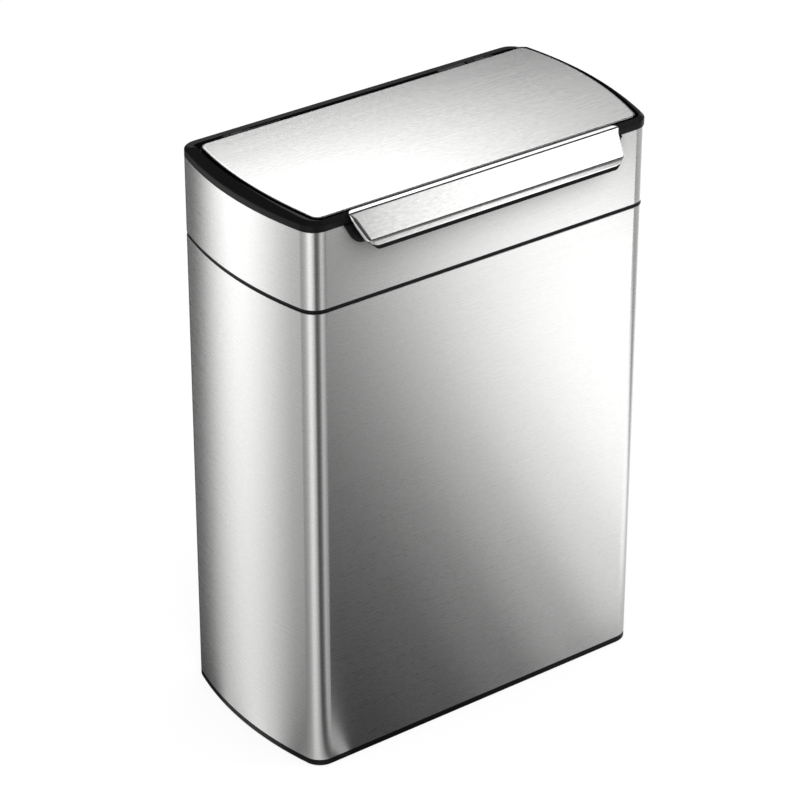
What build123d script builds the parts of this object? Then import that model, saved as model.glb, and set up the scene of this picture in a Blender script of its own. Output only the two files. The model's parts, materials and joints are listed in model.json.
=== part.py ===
from build123d import *
import math
import os

# Recycling bin with two buckets, a sprung lid and a touch bar along the front.
# Millimetres, +Z up, front towards -Y. Every size is measured from the cabinet's middle,
# and the finished pieces are moved once so that the origin is under the whole bin's middle.

# Cabinet outline, seen from above: flat front and rear, bowed ends
WIDTH = 492.0
DEPTH = 251.4
END_RADIUS = 437.5
CORNER_RADIUS = 22.5

# Heights, stacked from the floor
PAD_STAND = 0.8
BASE_EDGE = 7.5
BODY_HEIGHT = 577.0
SEAM_GAP = 4.3
BAND_HEIGHT = 92.4
BEZEL_WALL = 7.5

# Sheet, mouldings and clearances
SHEET = 0.8
HEM_DEPTH = 6.0
HEM_ROUND = 0.7
MOULDING = 2.5
RIB = 2.0
FIT = 0.1
SEAT = 0.3
RUNNING = 0.05
LAP_WIDTH = 14.0
LAP_STEP = 0.5

# Base pan
FLOOR_THICK = 2.5
FLOOR_RISE = 2.7
PAN_UPSTAND = 18.0
RIB_PITCH = 58.0
LOCATOR_HEIGHT = 7.0
LOCATOR_GAP = 1.0
PAD_RADIUS = 9.0
PAD_HEIGHT = 3.6
PAD_WEB = 0.9
PAD_INSET_X = 62.0
PAD_INSET_Y = 34.0

# Seam ring between the body and the collar
SEAM_RECESS = 1.2
SEAM_FLANGE = 9.0

# Bezel: a slope up to an arched crest, lower along the rear
SLOPE_TOP = 10.6
SLOPE_RUN_FRONT = 10.7
SLOPE_RUN_END = 10.1
SLOPE_RUN_REAR = 20.0
SLOPE_BREAK = 1.8
CREST_RISE = 9.8
ARCH_RADIUS = 2650.0
ARCH_CENTRE_Y = 50.0
REAR_SHELF = 2.7
REAR_RAMP = 18.0
LEDGE_THICK = 3.0

# Lid well in the bezel, and the throat through its ledge
WELL_INSET_END = 8.9
WELL_INSET_FRONT = 4.4
WELL_INSET_REAR = 12.6
WELL_CORNER = 12.0
THROAT_INSET_END = 24.0
THROAT_INSET_FRONT = 24.7
THROAT_INSET_REAR = 37.7
THROAT_CORNER = 14.0
THROAT_SKIRT = 7.5

# Lid: gaps round it in the well, arched skin, hollow tray with a lip into the throat
LID_GAP_END = 3.5
LID_GAP_FRONT = 3.0
LID_GAP_REAR = 17.4
LID_CORNER = 10.5
LID_CROWN = 10.6
LID_ROLL = 3.4
LID_EDGE = 6.0
LID_BORDER = 1.6
LID_UNDERSIDE = 2.3
TRAY_FLOOR = 2.2
TRAY_RIBS = 5
LIP_INSET = 6.0
LIP_HEIGHT = 6.3
BUMPER_RADIUS = 4.6
BUMPER_INSET_X = 34.0
BUMPER_INSET_Y = 6.6

# Lid hinge: two leaf arms between pairs of lugs, a spring at one pin, a damper at the other
HINGE_INSET = 20.7
HINGE_RISE = 5.5
HINGE_PIN_RADIUS = 2.5
LEAF = 1.7
HINGE_REACH = 20.0
ARM_WIDTH = 15.0
ARM_INSET = 78.5
LUG_WIDTH = 9.0
LUG_GAP = 1.0
LUG_DEPTH = 9.6
PIN_HEAD_RADIUS = 3.4
PIN_HEAD = 1.6
PIN_TAIL = 46.0
SPRING_INNER = 2.9
SPRING_OUTER = 4.4
SPRING_LENGTH = 42.0
DAMPER_RADIUS = 5.1
DAMPER_GAP = 4.0
DAMPER_LENGTH = 38.0

# Touch bar, measured on its outer skin from the band's top front edge
BAR_INSET = 64.0
BAR_TAPER_MID = 9.4
BAR_TAPER_LOW = 16.4
BAR_TIP_OUT = -3.2
BAR_TIP_UP = 12.6
BAR_BEND_OUT = 2.3
BAR_BEND_UP = 11.3
BAR_NOSE_OUT = 25.8
BAR_NOSE_DOWN = 13.3
BAR_LOW_OUT = 26.9
BAR_LOW_DOWN = 22.9
BAR_SHEET = 1.0
BAR_BEND_RADIUS = 2.2
BAR_NOSE_RADIUS = 3.0
BAR_CORNER_TOP = 5.0
BAR_CORNER_LOW = 8.0
BAR_RETURN = 6.2
BAR_RIM_GAP = 1.5
CARRIER_BELOW = 2.4
CARRIER_PITCH = 29.0
CARRIER_BOSS = 12.0

# Bar housing on the front of the band, and the bar's pivot
HOUSING_SIDE = 5.0
HOUSING_TAPER = 14.0
HOUSING_DROP = 25.0
HOUSING_CORNER = 15.0
HOUSING_PROUD = 4.0
PIVOT_OUT = 7.9
PIVOT_DOWN = 3.5
PIVOT_PIN_RADIUS = 1.5
PIVOT_LUG_RADIUS = 2.8
PIVOT_EYE_RADIUS = 3.6
PIVOT_INSET = 123.0
PIVOT_LUG_WIDTH = 6.0
PIVOT_SIDE_GAP = 0.5
PIVOT_EYE_WIDTH = 5.0
BAR_BACK_HIGH = 4.5
BAR_BACK_LOW = 8.5
BAR_BACK_EASE = 1.5
BAR_BACK_STEP = 6.0

# Latch behind the front of the collar: strike, slider and its box
STRIKE_HALF = 6.0
STRIKE_SETBACK = 6.1
STRIKE_THICK = 3.4
STRIKE_NOSE = 1.6
STRIKE_NOSE_HEIGHT = 2.5
STRIKE_FOOT_HALF = 14.0
STRIKE_FOOT_DEPTH = 10.0
STRIKE_UNDER = 0.5
SLIDER_DROP = 12.0
SLIDER_THICK = 4.0
SLIDER_HALF = 9.0
SLIDER_BAR = 2.7
SLIDER_FRONT_ROOM = 3.8
SLIDER_REAR_ROOM = 0.4
SLIDER_SIDE_ROOM = 0.5
SLIDER_TRAVEL = 2.2
TONGUE_GAP = 0.4
TONGUE_HALF = 6.5
TONGUE_HIGH = 1.0
TONGUE_LOW = 6.0
TONGUE_ROOT = 5.0
WINDOW_SIDE = 2.5
WINDOW_ABOVE = 4.5
WINDOW_BELOW = 1.5
LATCH_WALL = 1.8
LATCH_ROOM_LOW = 1.7
LATCH_ROOM_HIGH = 2.3
LATCH_RAIL = 2.2
LATCH_FLANGE = 6.0
SLOT_FRONT_ROOM = 3.0
SLOT_REAR_ROOM = 1.8
SLOT_SIDE_ROOM = 1.5

# Buckets
BUCKET_SPLIT = 6.0
BUCKET_CLEAR = 4.0
BUCKET_HEADROOM = 32.0
BUCKET_WALL = 2.2
BUCKET_DRAFT = 6.0
BUCKET_RIM = 3.0
BUCKET_RIM_THICK = 1.8
BUCKET_RIM_SKIRT = 7.0
BUCKET_CORNER = 20.0
BUCKET_INNER_CORNER = 12.0
BUCKET_FOOT_ROUND = 3.0
GRIP_WIDTH = 92.0
GRIP_HEIGHT = 26.0
GRIP_DROP = 24.0

# Screws
SCREW_HEAD_RADIUS = 3.6
SCREW_HEAD = 1.6
SCREW_SHANK_RADIUS = 1.6
SCREW_FLAT_RADIUS = 3.2
SCREW_BITE = 1.9
LEAF_SCREW_SPACING = 4.0
LEAF_SCREW_INSET = 15.0
BOSS_RADIUS = 4.6
BOSS_HEIGHT = 18.0
BOSS_INSET_X = 56.0
BOSS_STANDOFF = 9.5

# Levels and lines worked out from the sizes above
BASE_LEVEL = PAD_STAND
BODY_LOW = BASE_LEVEL + BASE_EDGE
BODY_HIGH = BODY_LOW + BODY_HEIGHT
BAND_LOW = BODY_HIGH + SEAM_GAP
BAND_HIGH = BAND_LOW + BAND_HEIGHT
FLOOR_TOP = BODY_LOW + FLOOR_RISE
FLOOR_LOW = FLOOR_TOP - FLOOR_THICK
LEDGE_TOP = BAND_HIGH + LEDGE_THICK
SLOPE_LOW = BAND_HIGH + BEZEL_WALL
CREST_CROWN = SLOPE_LOW + CREST_RISE
LID_TOP = SLOPE_LOW + LID_CROWN
TRAY_LOW = LEDGE_TOP + LID_UNDERSIDE
HALF_WIDTH = WIDTH / 2
HALF_DEPTH = DEPTH / 2
WRAP = 2 * SHEET + FIT
INNER = WRAP + MOULDING
WELL_FRONT = HALF_DEPTH - WELL_INSET_FRONT
WELL_REAR = HALF_DEPTH - WELL_INSET_REAR
WELL_HALF = HALF_WIDTH - WELL_INSET_END
WELL_END_RADIUS = END_RADIUS - WELL_INSET_END
LID_HALF = WELL_HALF - LID_GAP_END
LID_FRONT = WELL_FRONT - LID_GAP_FRONT
LID_REAR = WELL_REAR - LID_GAP_REAR
THROAT_HALF = HALF_WIDTH - THROAT_INSET_END
THROAT_FRONT = HALF_DEPTH - THROAT_INSET_FRONT
THROAT_REAR = HALF_DEPTH - THROAT_INSET_REAR
HINGE_Y = HALF_DEPTH - HINGE_INSET
HINGE_Z = LEDGE_TOP + HINGE_RISE
HINGE_EYE_RADIUS = HINGE_Z - TRAY_LOW + LEAF
ARM_X = HALF_WIDTH - ARM_INSET
BAR_HALF = HALF_WIDTH - BAR_INSET
BAR_LOW_Z = BAND_HIGH - BAR_LOW_DOWN
CARRIER_LOW_Z = BAR_LOW_Z - CARRIER_BELOW
PIVOT_Y = -HALF_DEPTH - PIVOT_OUT
PIVOT_Z = BAND_HIGH - PIVOT_DOWN
PIVOT_X = HALF_WIDTH - PIVOT_INSET
HOUSING_FRONT = -HALF_DEPTH - HOUSING_PROUD
STRIKE_FRONT = -LID_FRONT + STRIKE_SETBACK
STRIKE_REAR = STRIKE_FRONT + STRIKE_THICK
NOSE_REAR = STRIKE_REAR + STRIKE_NOSE
SLIDER_TOP = BAND_HIGH - SLIDER_DROP
SLIDER_LOW = SLIDER_TOP - SLIDER_THICK
SLIDER_OPEN_FRONT = STRIKE_FRONT - SLIDER_FRONT_ROOM
SLIDER_OPEN_REAR = NOSE_REAR + SLIDER_REAR_ROOM
SLIDER_FRONT = SLIDER_OPEN_FRONT - SLIDER_BAR
SLIDER_REAR = SLIDER_OPEN_REAR + SLIDER_BAR
STRIKE_LOW = SLIDER_LOW - STRIKE_UNDER - STRIKE_NOSE_HEIGHT
TONGUE_TOP_Z = SLIDER_TOP - TONGUE_HIGH
TONGUE_LOW_Z = SLIDER_TOP - TONGUE_LOW
BUCKET_LOW = FLOOR_TOP + SEAT
BUCKET_TOP = BAND_HIGH - BUCKET_HEADROOM
FAR = 2 * (WIDTH + DEPTH)
BIN_SHIFT = (BAR_LOW_OUT - LAP_STEP) / 2


def bowed_plan(half_width, front, rear, end_radius, corner):
    """Outline with flat front and rear and bowed ends; front and rear are distances."""
    shift = half_width - end_radius
    lens = (Pos(shift, 0) * Circle(end_radius)) & (Pos(-shift, 0) * Circle(end_radius))
    strip = Pos(0, (rear - front) / 2) * Rectangle(FAR, front + rear)
    outline = lens & strip
    return fillet(outline.vertices(), corner)


def cabinet_plan(inset=0.0):
    """The cabinet's outline, moved in evenly."""
    half = HALF_DEPTH - inset
    return bowed_plan(HALF_WIDTH - inset, half, half, END_RADIUS - inset, CORNER_RADIUS - inset)


def lid_plan(inset=0.0):
    """The lid skin's outline, moved in evenly."""
    front = LID_FRONT - inset
    rear = LID_REAR - inset
    radius = WELL_END_RADIUS - LID_GAP_END - inset
    return bowed_plan(LID_HALF - inset, front, rear, radius, max(LID_CORNER - inset, MOULDING))


def well_plan(grow=0.0):
    """The opening in the bezel that the lid lies in, moved out evenly."""
    front = WELL_FRONT + grow
    rear = WELL_REAR + grow
    radius = WELL_END_RADIUS + grow
    return bowed_plan(WELL_HALF + grow, front, rear, radius, WELL_CORNER + grow)


def throat_plan(inset=0.0):
    """The opening through the ledge that the buckets lift out of, moved in evenly."""
    front = THROAT_FRONT - inset
    rear = THROAT_REAR - inset
    radius = END_RADIUS - THROAT_INSET_END - inset
    return bowed_plan(THROAT_HALF - inset, front, rear, radius, THROAT_CORNER - inset)


def bucket_plan(inset=0.0):
    """The right bucket's outline, moved in evenly: flat inner side, bowed outer side."""
    inset_all = BUCKET_CLEAR + inset
    radius = END_RADIUS - THROAT_INSET_END - inset_all
    front = THROAT_FRONT - inset_all
    rear = THROAT_REAR - inset_all
    left = BUCKET_SPLIT / 2 + inset
    bow = Pos(THROAT_HALF - inset_all - radius, 0) * Circle(radius)
    half = Pos(left + FAR / 2, (rear - front) / 2) * Rectangle(FAR, front + rear)
    outline = bow & half
    outer = outline.vertices().sort_by(Axis.X)[-2:]
    outline = fillet(outer, BUCKET_CORNER - inset)
    inner = outline.vertices().sort_by(Axis.X)[:2]
    return fillet(inner, BUCKET_INNER_CORNER - inset)


def prism(plan, low, high):
    """A plan raised from one level to another."""
    return Pos(0, 0, low) * extrude(plan, amount=high - low)


def ring(outer, inner, low, high):
    """A wall between two plans, from one level to another."""
    return prism(outer, low, high) - prism(inner, low, high)


def side_profile(points, x_low, x_high):
    """An outline of (y, z) points run along X."""
    face = make_face(Polyline([(x_low, y, z) for y, z in points], close=True))
    return extrude(face, amount=x_high - x_low, dir=(1, 0, 0))


def round_bar(y, z, radius, x_low, x_high):
    """A round bar along X."""
    middle = Pos((x_low + x_high) / 2, y, z)
    return middle * Rot(0, 90, 0) * Cylinder(radius, x_high - x_low)


def block(x_low, x_high, y_low, y_high, z_low, z_high):
    """A plain box given by its faces."""
    middle = Pos((x_low + x_high) / 2, (y_low + y_high) / 2, (z_low + z_high) / 2)
    return middle * Box(x_high - x_low, y_high - y_low, z_high - z_low)


def post(x, y, radius, low, high):
    """An upright round bar."""
    return Pos(x, y, (low + high) / 2) * Cylinder(radius, high - low)


def both_sides(piece):
    """A piece and its mirror image on the other side of the middle."""
    return piece + mirror(piece, about=Plane.YZ)


def arch_height(crown, y):
    """Height at y of an arch that is crown high along its middle line."""
    run = y - ARCH_CENTRE_Y
    return crown - ARCH_RADIUS + math.sqrt(ARCH_RADIUS**2 - run**2)


def under_arch(crown, floor):
    """Everything between a level and an arched top."""
    start = (-HALF_WIDTH, -DEPTH, arch_height(crown, -DEPTH))
    end = (-HALF_WIDTH, DEPTH, arch_height(crown, DEPTH))
    top = ThreePointArc(start, (-HALF_WIDTH, ARCH_CENTRE_Y, crown), end)
    rest = Polyline(end, (-HALF_WIDTH, DEPTH, floor), (-HALF_WIDTH, -DEPTH, floor), start)
    return extrude(make_face([top, *rest.edges()]), amount=WIDTH, dir=(1, 0, 0))


def screw(x, y, z, length):
    """A pan-head screw pointing up, its head below z."""
    head = post(x, y, SCREW_HEAD_RADIUS, z - SCREW_HEAD, z)
    head = chamfer(head.edges().sort_by(Axis.Z)[0], SCREW_HEAD / 3)
    return head + post(x, y, SCREW_SHANK_RADIUS, z, z + length)


def corners(x, front, rear):
    """The four places at x and -x, at the front and at the rear."""
    return [(x, -front), (-x, -front), (x, rear), (-x, rear)]


PADS = corners(HALF_WIDTH - PAD_INSET_X, HALF_DEPTH - PAD_INSET_Y, HALF_DEPTH - PAD_INSET_Y)
BOSS_Y = HALF_DEPTH - INNER - BOSS_STANDOFF
BOSSES = corners(HALF_WIDTH - BOSS_INSET_X, BOSS_Y, BOSS_Y)
BUMPER_FRONT = LID_FRONT + LID_BORDER - BUMPER_INSET_Y
BUMPER_REAR = LID_REAR + LID_BORDER - BUMPER_INSET_Y
BUMPERS = corners(LID_HALF - BUMPER_INSET_X, BUMPER_FRONT, BUMPER_REAR)


def tapered(low_plan, low, high_plan, high):
    """A solid that changes evenly from one plan to another."""
    return loft([Pos(0, 0, low) * low_plan, Pos(0, 0, high) * high_plan], ruled=True)


def steel_wrap(low, high):
    """A rolled sheet with folded hems at both edges and a lap seam down the rear."""
    outer = prism(cabinet_plan(), low, high)
    caps = outer.faces().sort_by(Axis.Z)
    outer = fillet(caps[0].edges() + caps[-1].edges(), HEM_ROUND)
    wrap = outer - prism(cabinet_plan(SHEET), low, high)
    wrap += ring(cabinet_plan(SHEET), cabinet_plan(2 * SHEET), low, low + HEM_DEPTH)
    wrap += ring(cabinet_plan(SHEET), cabinet_plan(2 * SHEET), high - HEM_DEPTH, high)
    lap_low = low + HEM_ROUND
    lap_high = high - HEM_ROUND
    return wrap + block(0, LAP_WIDTH, HALF_DEPTH - SHEET / 2, HALF_DEPTH + LAP_STEP, lap_low, lap_high)


def pan_ribs():
    """Stiffening ribs under the floor of the base pan."""
    ribs = []
    for index in range(-int(HALF_WIDTH / RIB_PITCH), int(HALF_WIDTH / RIB_PITCH) + 1):
        x = index * RIB_PITCH
        ribs.append(block(x - RIB / 2, x + RIB / 2, -DEPTH, DEPTH, BASE_LEVEL, FLOOR_LOW))
    for y in (-RIB_PITCH, 0.0, RIB_PITCH):
        ribs.append(block(-WIDTH, WIDTH, y - RIB / 2, y + RIB / 2, BASE_LEVEL, FLOOR_LOW))
    for x, y in PADS:
        ribs.append(post(x, y, PAD_RADIUS + RIB, BASE_LEVEL, FLOOR_LOW))
    inside = prism(cabinet_plan(WRAP + MOULDING / 2), BASE_LEVEL, FLOOR_LOW)
    return (Part() + ribs) & inside


def base_pan():
    """Visible black edge, ribbed floor, upstand inside the body, ribs that place the buckets."""
    top = BODY_LOW + PAN_UPSTAND
    edge = prism(cabinet_plan(), BASE_LEVEL, BODY_LOW)
    edge = chamfer(edge.faces().sort_by(Axis.Z)[0].edges(), HEM_ROUND)
    pan = edge + prism(cabinet_plan(WRAP), BODY_LOW, top)
    pan -= prism(cabinet_plan(INNER), FLOOR_TOP, top)
    pan -= prism(cabinet_plan(INNER), BASE_LEVEL, FLOOR_LOW)
    pan += pan_ribs()
    foot = BUCKET_RIM + BUCKET_DRAFT - LOCATOR_GAP
    locator = ring(bucket_plan(foot - RIB), bucket_plan(foot), FLOOR_TOP, FLOOR_TOP + LOCATOR_HEIGHT)
    pan += both_sides(locator)
    for x, y in PADS:
        pan -= post(x, y, PAD_RADIUS + FIT, 0, PAD_HEIGHT)
        pan -= post(x, y, SCREW_SHANK_RADIUS, PAD_HEIGHT, FLOOR_LOW)
    return pan


def floor_pad(x, y):
    """A rubber foot with a sunk hole for its screw."""
    pad = post(x, y, PAD_RADIUS, 0, PAD_HEIGHT)
    pad = chamfer(pad.edges().sort_by(Axis.Z)[0], PAD_STAND)
    pad -= post(x, y, SCREW_HEAD_RADIUS + FIT, 0, PAD_HEIGHT - PAD_WEB)
    return pad - post(x, y, SCREW_SHANK_RADIUS, 0, PAD_HEIGHT)


def base_screw(x, y):
    """The screw that holds one foot."""
    seat = PAD_HEIGHT - PAD_WEB
    return screw(x, y, seat, FLOOR_LOW - seat)


def seam_ring():
    """The recessed black joint between the body and the collar, with a flange into each."""
    low = BODY_HIGH - SEAM_FLANGE
    high = BAND_LOW + SEAM_FLANGE
    web = prism(cabinet_plan(SEAM_RECESS), BODY_HIGH, BAND_LOW)
    return prism(cabinet_plan(WRAP), low, high) + web - prism(cabinet_plan(INNER), low, high)


def tongue_window():
    """The way through the front of the collar for the bar's tongue."""
    side = TONGUE_HALF + WINDOW_SIDE
    low = TONGUE_LOW_Z - WINDOW_BELOW
    high = TONGUE_TOP_Z + WINDOW_ABOVE
    return block(-side, side, HOUSING_FRONT, -HALF_DEPTH + INNER, low, high)


def collar_frame():
    """The moulded frame inside the collar, with a screw boss near each corner."""
    frame = ring(cabinet_plan(WRAP), cabinet_plan(INNER), BAND_LOW + SEAM_FLANGE, BAND_HIGH)
    for x, y in BOSSES:
        wall = math.copysign(HALF_DEPTH - WRAP - MOULDING / 2, y)
        low = BAND_HIGH - BOSS_HEIGHT
        frame += block(x - RIB / 2, x + RIB / 2, min(y, wall), max(y, wall), low, BAND_HIGH)
        frame += post(x, y, BOSS_RADIUS, low, BAND_HIGH)
        frame -= post(x, y, SCREW_SHANK_RADIUS, low, BAND_HIGH)
    return frame - tongue_window()


def frame_screw(x, y):
    """The screw that pulls the bezel down onto the frame."""
    return screw(x, y, BAND_HIGH - BOSS_HEIGHT, BOSS_HEIGHT + SCREW_BITE)


def bezel_outside():
    """The bezel's outer form: wall, slope, arched crest and low rear shelf."""
    top_plan = bowed_plan(
        HALF_WIDTH - SLOPE_RUN_END,
        HALF_DEPTH - SLOPE_RUN_FRONT,
        HALF_DEPTH - SLOPE_RUN_REAR,
        END_RADIUS - SLOPE_RUN_END,
        CORNER_RADIUS - SLOPE_RUN_END,
    )
    top = SLOPE_LOW + SLOPE_TOP
    form = prism(cabinet_plan(), BAND_HIGH, SLOPE_LOW)
    form += tapered(cabinet_plan(), SLOPE_LOW, top_plan, top)
    breaks = form.edges().filter_by(lambda e: abs(e.center().Z - SLOPE_LOW) < FIT)
    form = fillet(breaks, SLOPE_BREAK)
    shelf = SLOPE_LOW + REAR_SHELF
    ramp_end = WELL_REAR - MOULDING
    ramp_start = ramp_end - REAR_RAMP
    rear = [
        (ramp_start, arch_height(CREST_CROWN, ramp_start)),
        (ramp_end, shelf),
        (DEPTH, shelf),
        (DEPTH, FAR),
        (ramp_start, FAR),
    ]
    return (form & under_arch(CREST_CROWN, BAND_HIGH)) - side_profile(rear, -WIDTH, WIDTH)


def strike_slot(low, high):
    """The way down through a plate for the lid's strike."""
    side = STRIKE_HALF + SLOT_SIDE_ROOM
    return block(
        -side, side, STRIKE_FRONT - SLOT_FRONT_ROOM, NOSE_REAR + SLOT_REAR_ROOM, low, high
    )


def rim_bezel():
    """Black top ring: hollow rim, ledge under the lid, skirt round the throat."""
    bezel = bezel_outside() - prism(well_plan(), LEDGE_TOP, FAR)
    bezel -= prism(throat_plan(), BAND_HIGH, LEDGE_TOP)
    bezel -= ring(cabinet_plan(MOULDING), well_plan(MOULDING), BAND_HIGH, SLOPE_LOW)
    skirt_low = BAND_HIGH - THROAT_SKIRT
    bezel += ring(throat_plan(-MOULDING), throat_plan(), skirt_low, BAND_HIGH)
    for x, y in BOSSES:
        bezel -= post(x, y, SCREW_SHANK_RADIUS, BAND_HIGH, BAND_HIGH + SCREW_BITE)
    return bezel - strike_slot(BAND_HIGH, LEDGE_TOP)


def bar_housing():
    """The fixed plate behind the touch bar, with two lugs for the bar's pins."""
    top_half = BAR_HALF + HOUSING_SIDE
    low_half = top_half - HOUSING_TAPER
    low = BAND_HIGH - HOUSING_DROP
    outline = [(top_half, BAND_HIGH), (low_half, low), (-low_half, low), (-top_half, BAND_HIGH)]
    face = make_face(Polyline(outline, close=True))
    face = fillet(face.vertices().sort_by(Axis.Y)[:2], HOUSING_CORNER)
    back = Plane(origin=(0, -HALF_DEPTH, 0), x_dir=(1, 0, 0), z_dir=(0, -1, 0))
    plate = extrude(back * face, amount=HOUSING_PROUD)
    plate = fillet(plate.faces().sort_by(Axis.Y)[0].edges(), MOULDING / 2)
    low_x = PIVOT_X - PIVOT_LUG_WIDTH / 2
    high_x = PIVOT_X + PIVOT_LUG_WIDTH / 2
    lug = round_bar(PIVOT_Y, PIVOT_Z, PIVOT_LUG_RADIUS, low_x, high_x)
    lug_low = PIVOT_Z - PIVOT_LUG_RADIUS
    lug_high = PIVOT_Z + PIVOT_LUG_RADIUS
    lug += block(low_x, high_x, PIVOT_Y, HOUSING_FRONT + FIT, lug_low, lug_high)
    lug -= round_bar(PIVOT_Y, PIVOT_Z, PIVOT_PIN_RADIUS + RUNNING, low_x, high_x)
    return plate + both_sides(lug) - tongue_window()


def latch_box():
    """The guide behind the collar's front that the slider runs in."""
    inner = SLIDER_HALF + SEAT
    outer = inner + LATCH_WALL
    front = -HALF_DEPTH + INNER
    rear = SLIDER_REAR + SLIDER_TRAVEL + SEAT
    low = STRIKE_LOW - LATCH_ROOM_LOW
    high = SLIDER_TOP + LATCH_ROOM_HIGH
    top = high + LATCH_WALL
    box = block(-outer, outer, front, rear + LATCH_WALL, low - LATCH_WALL, top)
    flange = outer + LATCH_FLANGE
    box += block(-flange, flange, front, front + LATCH_WALL, low - LATCH_WALL, top)
    box -= block(-inner, inner, front, rear, low, high)
    rail_top = SLIDER_LOW - SEAT
    box += both_sides(block(inner - LATCH_RAIL, inner, SLIDER_FRONT, rear, low, rail_top))
    return box - strike_slot(high, top)


def latch_slider():
    """The plate that the tongue pushes to free the strike."""
    body = block(-SLIDER_HALF, SLIDER_HALF, SLIDER_FRONT, SLIDER_REAR, SLIDER_LOW, SLIDER_TOP)
    side = STRIKE_HALF + SLIDER_SIDE_ROOM
    return body - block(-side, side, SLIDER_OPEN_FRONT, SLIDER_OPEN_REAR, SLIDER_LOW, SLIDER_TOP)


def hinge_spans():
    """Inner and outer faces along X of the right inner lug, arm and outer lug."""
    arm = (ARM_X - ARM_WIDTH / 2, ARM_X + ARM_WIDTH / 2)
    inner = (arm[0] - LUG_GAP - LUG_WIDTH, arm[0] - LUG_GAP)
    outer = (arm[1] + LUG_GAP, arm[1] + LUG_GAP + LUG_WIDTH)
    return inner, arm, outer


def hinge_lug(span):
    """An upright lug on the ledge with a running fit for the lid's pin."""
    half = LUG_DEPTH / 2
    lug = block(*span, HINGE_Y - half, HINGE_Y + half, LEDGE_TOP, HINGE_Z)
    lug += round_bar(HINGE_Y, HINGE_Z, half, *span)
    return lug - round_bar(HINGE_Y, HINGE_Z, HINGE_PIN_RADIUS + RUNNING, *span)


def hinge_arm():
    """A rolled leaf: an eye round the pin and a flat strap under the lid."""
    span = hinge_spans()[1]
    arm = round_bar(HINGE_Y, HINGE_Z, HINGE_EYE_RADIUS, *span)
    arm += block(*span, HINGE_Y - HINGE_REACH, HINGE_Y, TRAY_LOW - LEAF, TRAY_LOW)
    arm -= round_bar(HINGE_Y, HINGE_Z, HINGE_PIN_RADIUS, *span)
    for x, y in leaf_screw_places():
        arm -= flat_screw(x, y)
    return arm


def leaf_screw_places():
    """Where the right hinge leaf is screwed to the lid."""
    y = HINGE_Y - LEAF_SCREW_INSET
    return [(ARM_X - LEAF_SCREW_SPACING, y), (ARM_X + LEAF_SCREW_SPACING, y)]


def strike_screw_places():
    """Where the strike's foot is screwed to the lid."""
    x = (STRIKE_HALF + STRIKE_FOOT_HALF) / 2
    y = STRIKE_FRONT + STRIKE_FOOT_DEPTH / 2
    return [(x, y), (-x, y)]


def flat_screw(x, y):
    """A countersunk screw up through a leaf into the lid's tray."""
    head = Cone(SCREW_FLAT_RADIUS, SCREW_SHANK_RADIUS, LEAF)
    head = Pos(x, y, TRAY_LOW - LEAF / 2) * head
    return head + post(x, y, SCREW_SHANK_RADIUS, TRAY_LOW, TRAY_LOW + SCREW_BITE)


def hinge_pin():
    """A headed pin through both lugs, with a tail that carries the spring or the damper."""
    inner, _, outer = hinge_spans()
    pin = round_bar(HINGE_Y, HINGE_Z, HINGE_PIN_RADIUS, inner[0] - PIN_TAIL, outer[1] + SEAT)
    head_low = outer[1] + SEAT
    return pin + round_bar(HINGE_Y, HINGE_Z, PIN_HEAD_RADIUS, head_low, head_low + PIN_HEAD)


def lid_spring():
    """The spring's sleeve round the left pin, against the inner lug, with a leg to the ledge."""
    high = hinge_spans()[0][0]
    low = high - SPRING_LENGTH
    sleeve = round_bar(HINGE_Y, HINGE_Z, SPRING_OUTER, low, high)
    wire = SPRING_OUTER - SPRING_INNER
    sleeve += block(low, low + wire, HINGE_Y, HINGE_Y + wire, LEDGE_TOP, HINGE_Z)
    return sleeve - round_bar(HINGE_Y, HINGE_Z, SPRING_INNER, low, high)


def lid_damper():
    """A round damper on the right pin's tail, with a foot on the ledge."""
    high = hinge_spans()[0][0] - DAMPER_GAP
    low = high - DAMPER_LENGTH
    barrel = round_bar(HINGE_Y, HINGE_Z, DAMPER_RADIUS, low, high)
    front = HINGE_Y - DAMPER_RADIUS / 2
    barrel += block(low, high, front, HINGE_Y + DAMPER_RADIUS, LEDGE_TOP, HINGE_Z)
    return barrel - round_bar(HINGE_Y, HINGE_Z, HINGE_PIN_RADIUS + RUNNING, low, high)


def lid_form(inset, crown, roll):
    """The lid's arched block with its top edges rounded."""
    form = prism(lid_plan(inset), TRAY_LOW, FAR) & under_arch(crown, TRAY_LOW)
    return fillet(form.faces().sort_by(Axis.Z)[-1].edges(), roll)


def lid_skin():
    """The pressed steel lid: arched top, rolled edge, short skirt."""
    skin = lid_form(0, LID_TOP, LID_ROLL) - lid_form(SHEET, LID_TOP - SHEET, LID_ROLL - SHEET)
    return skin - under_arch(LID_TOP - LID_EDGE, BAND_HIGH)


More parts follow.
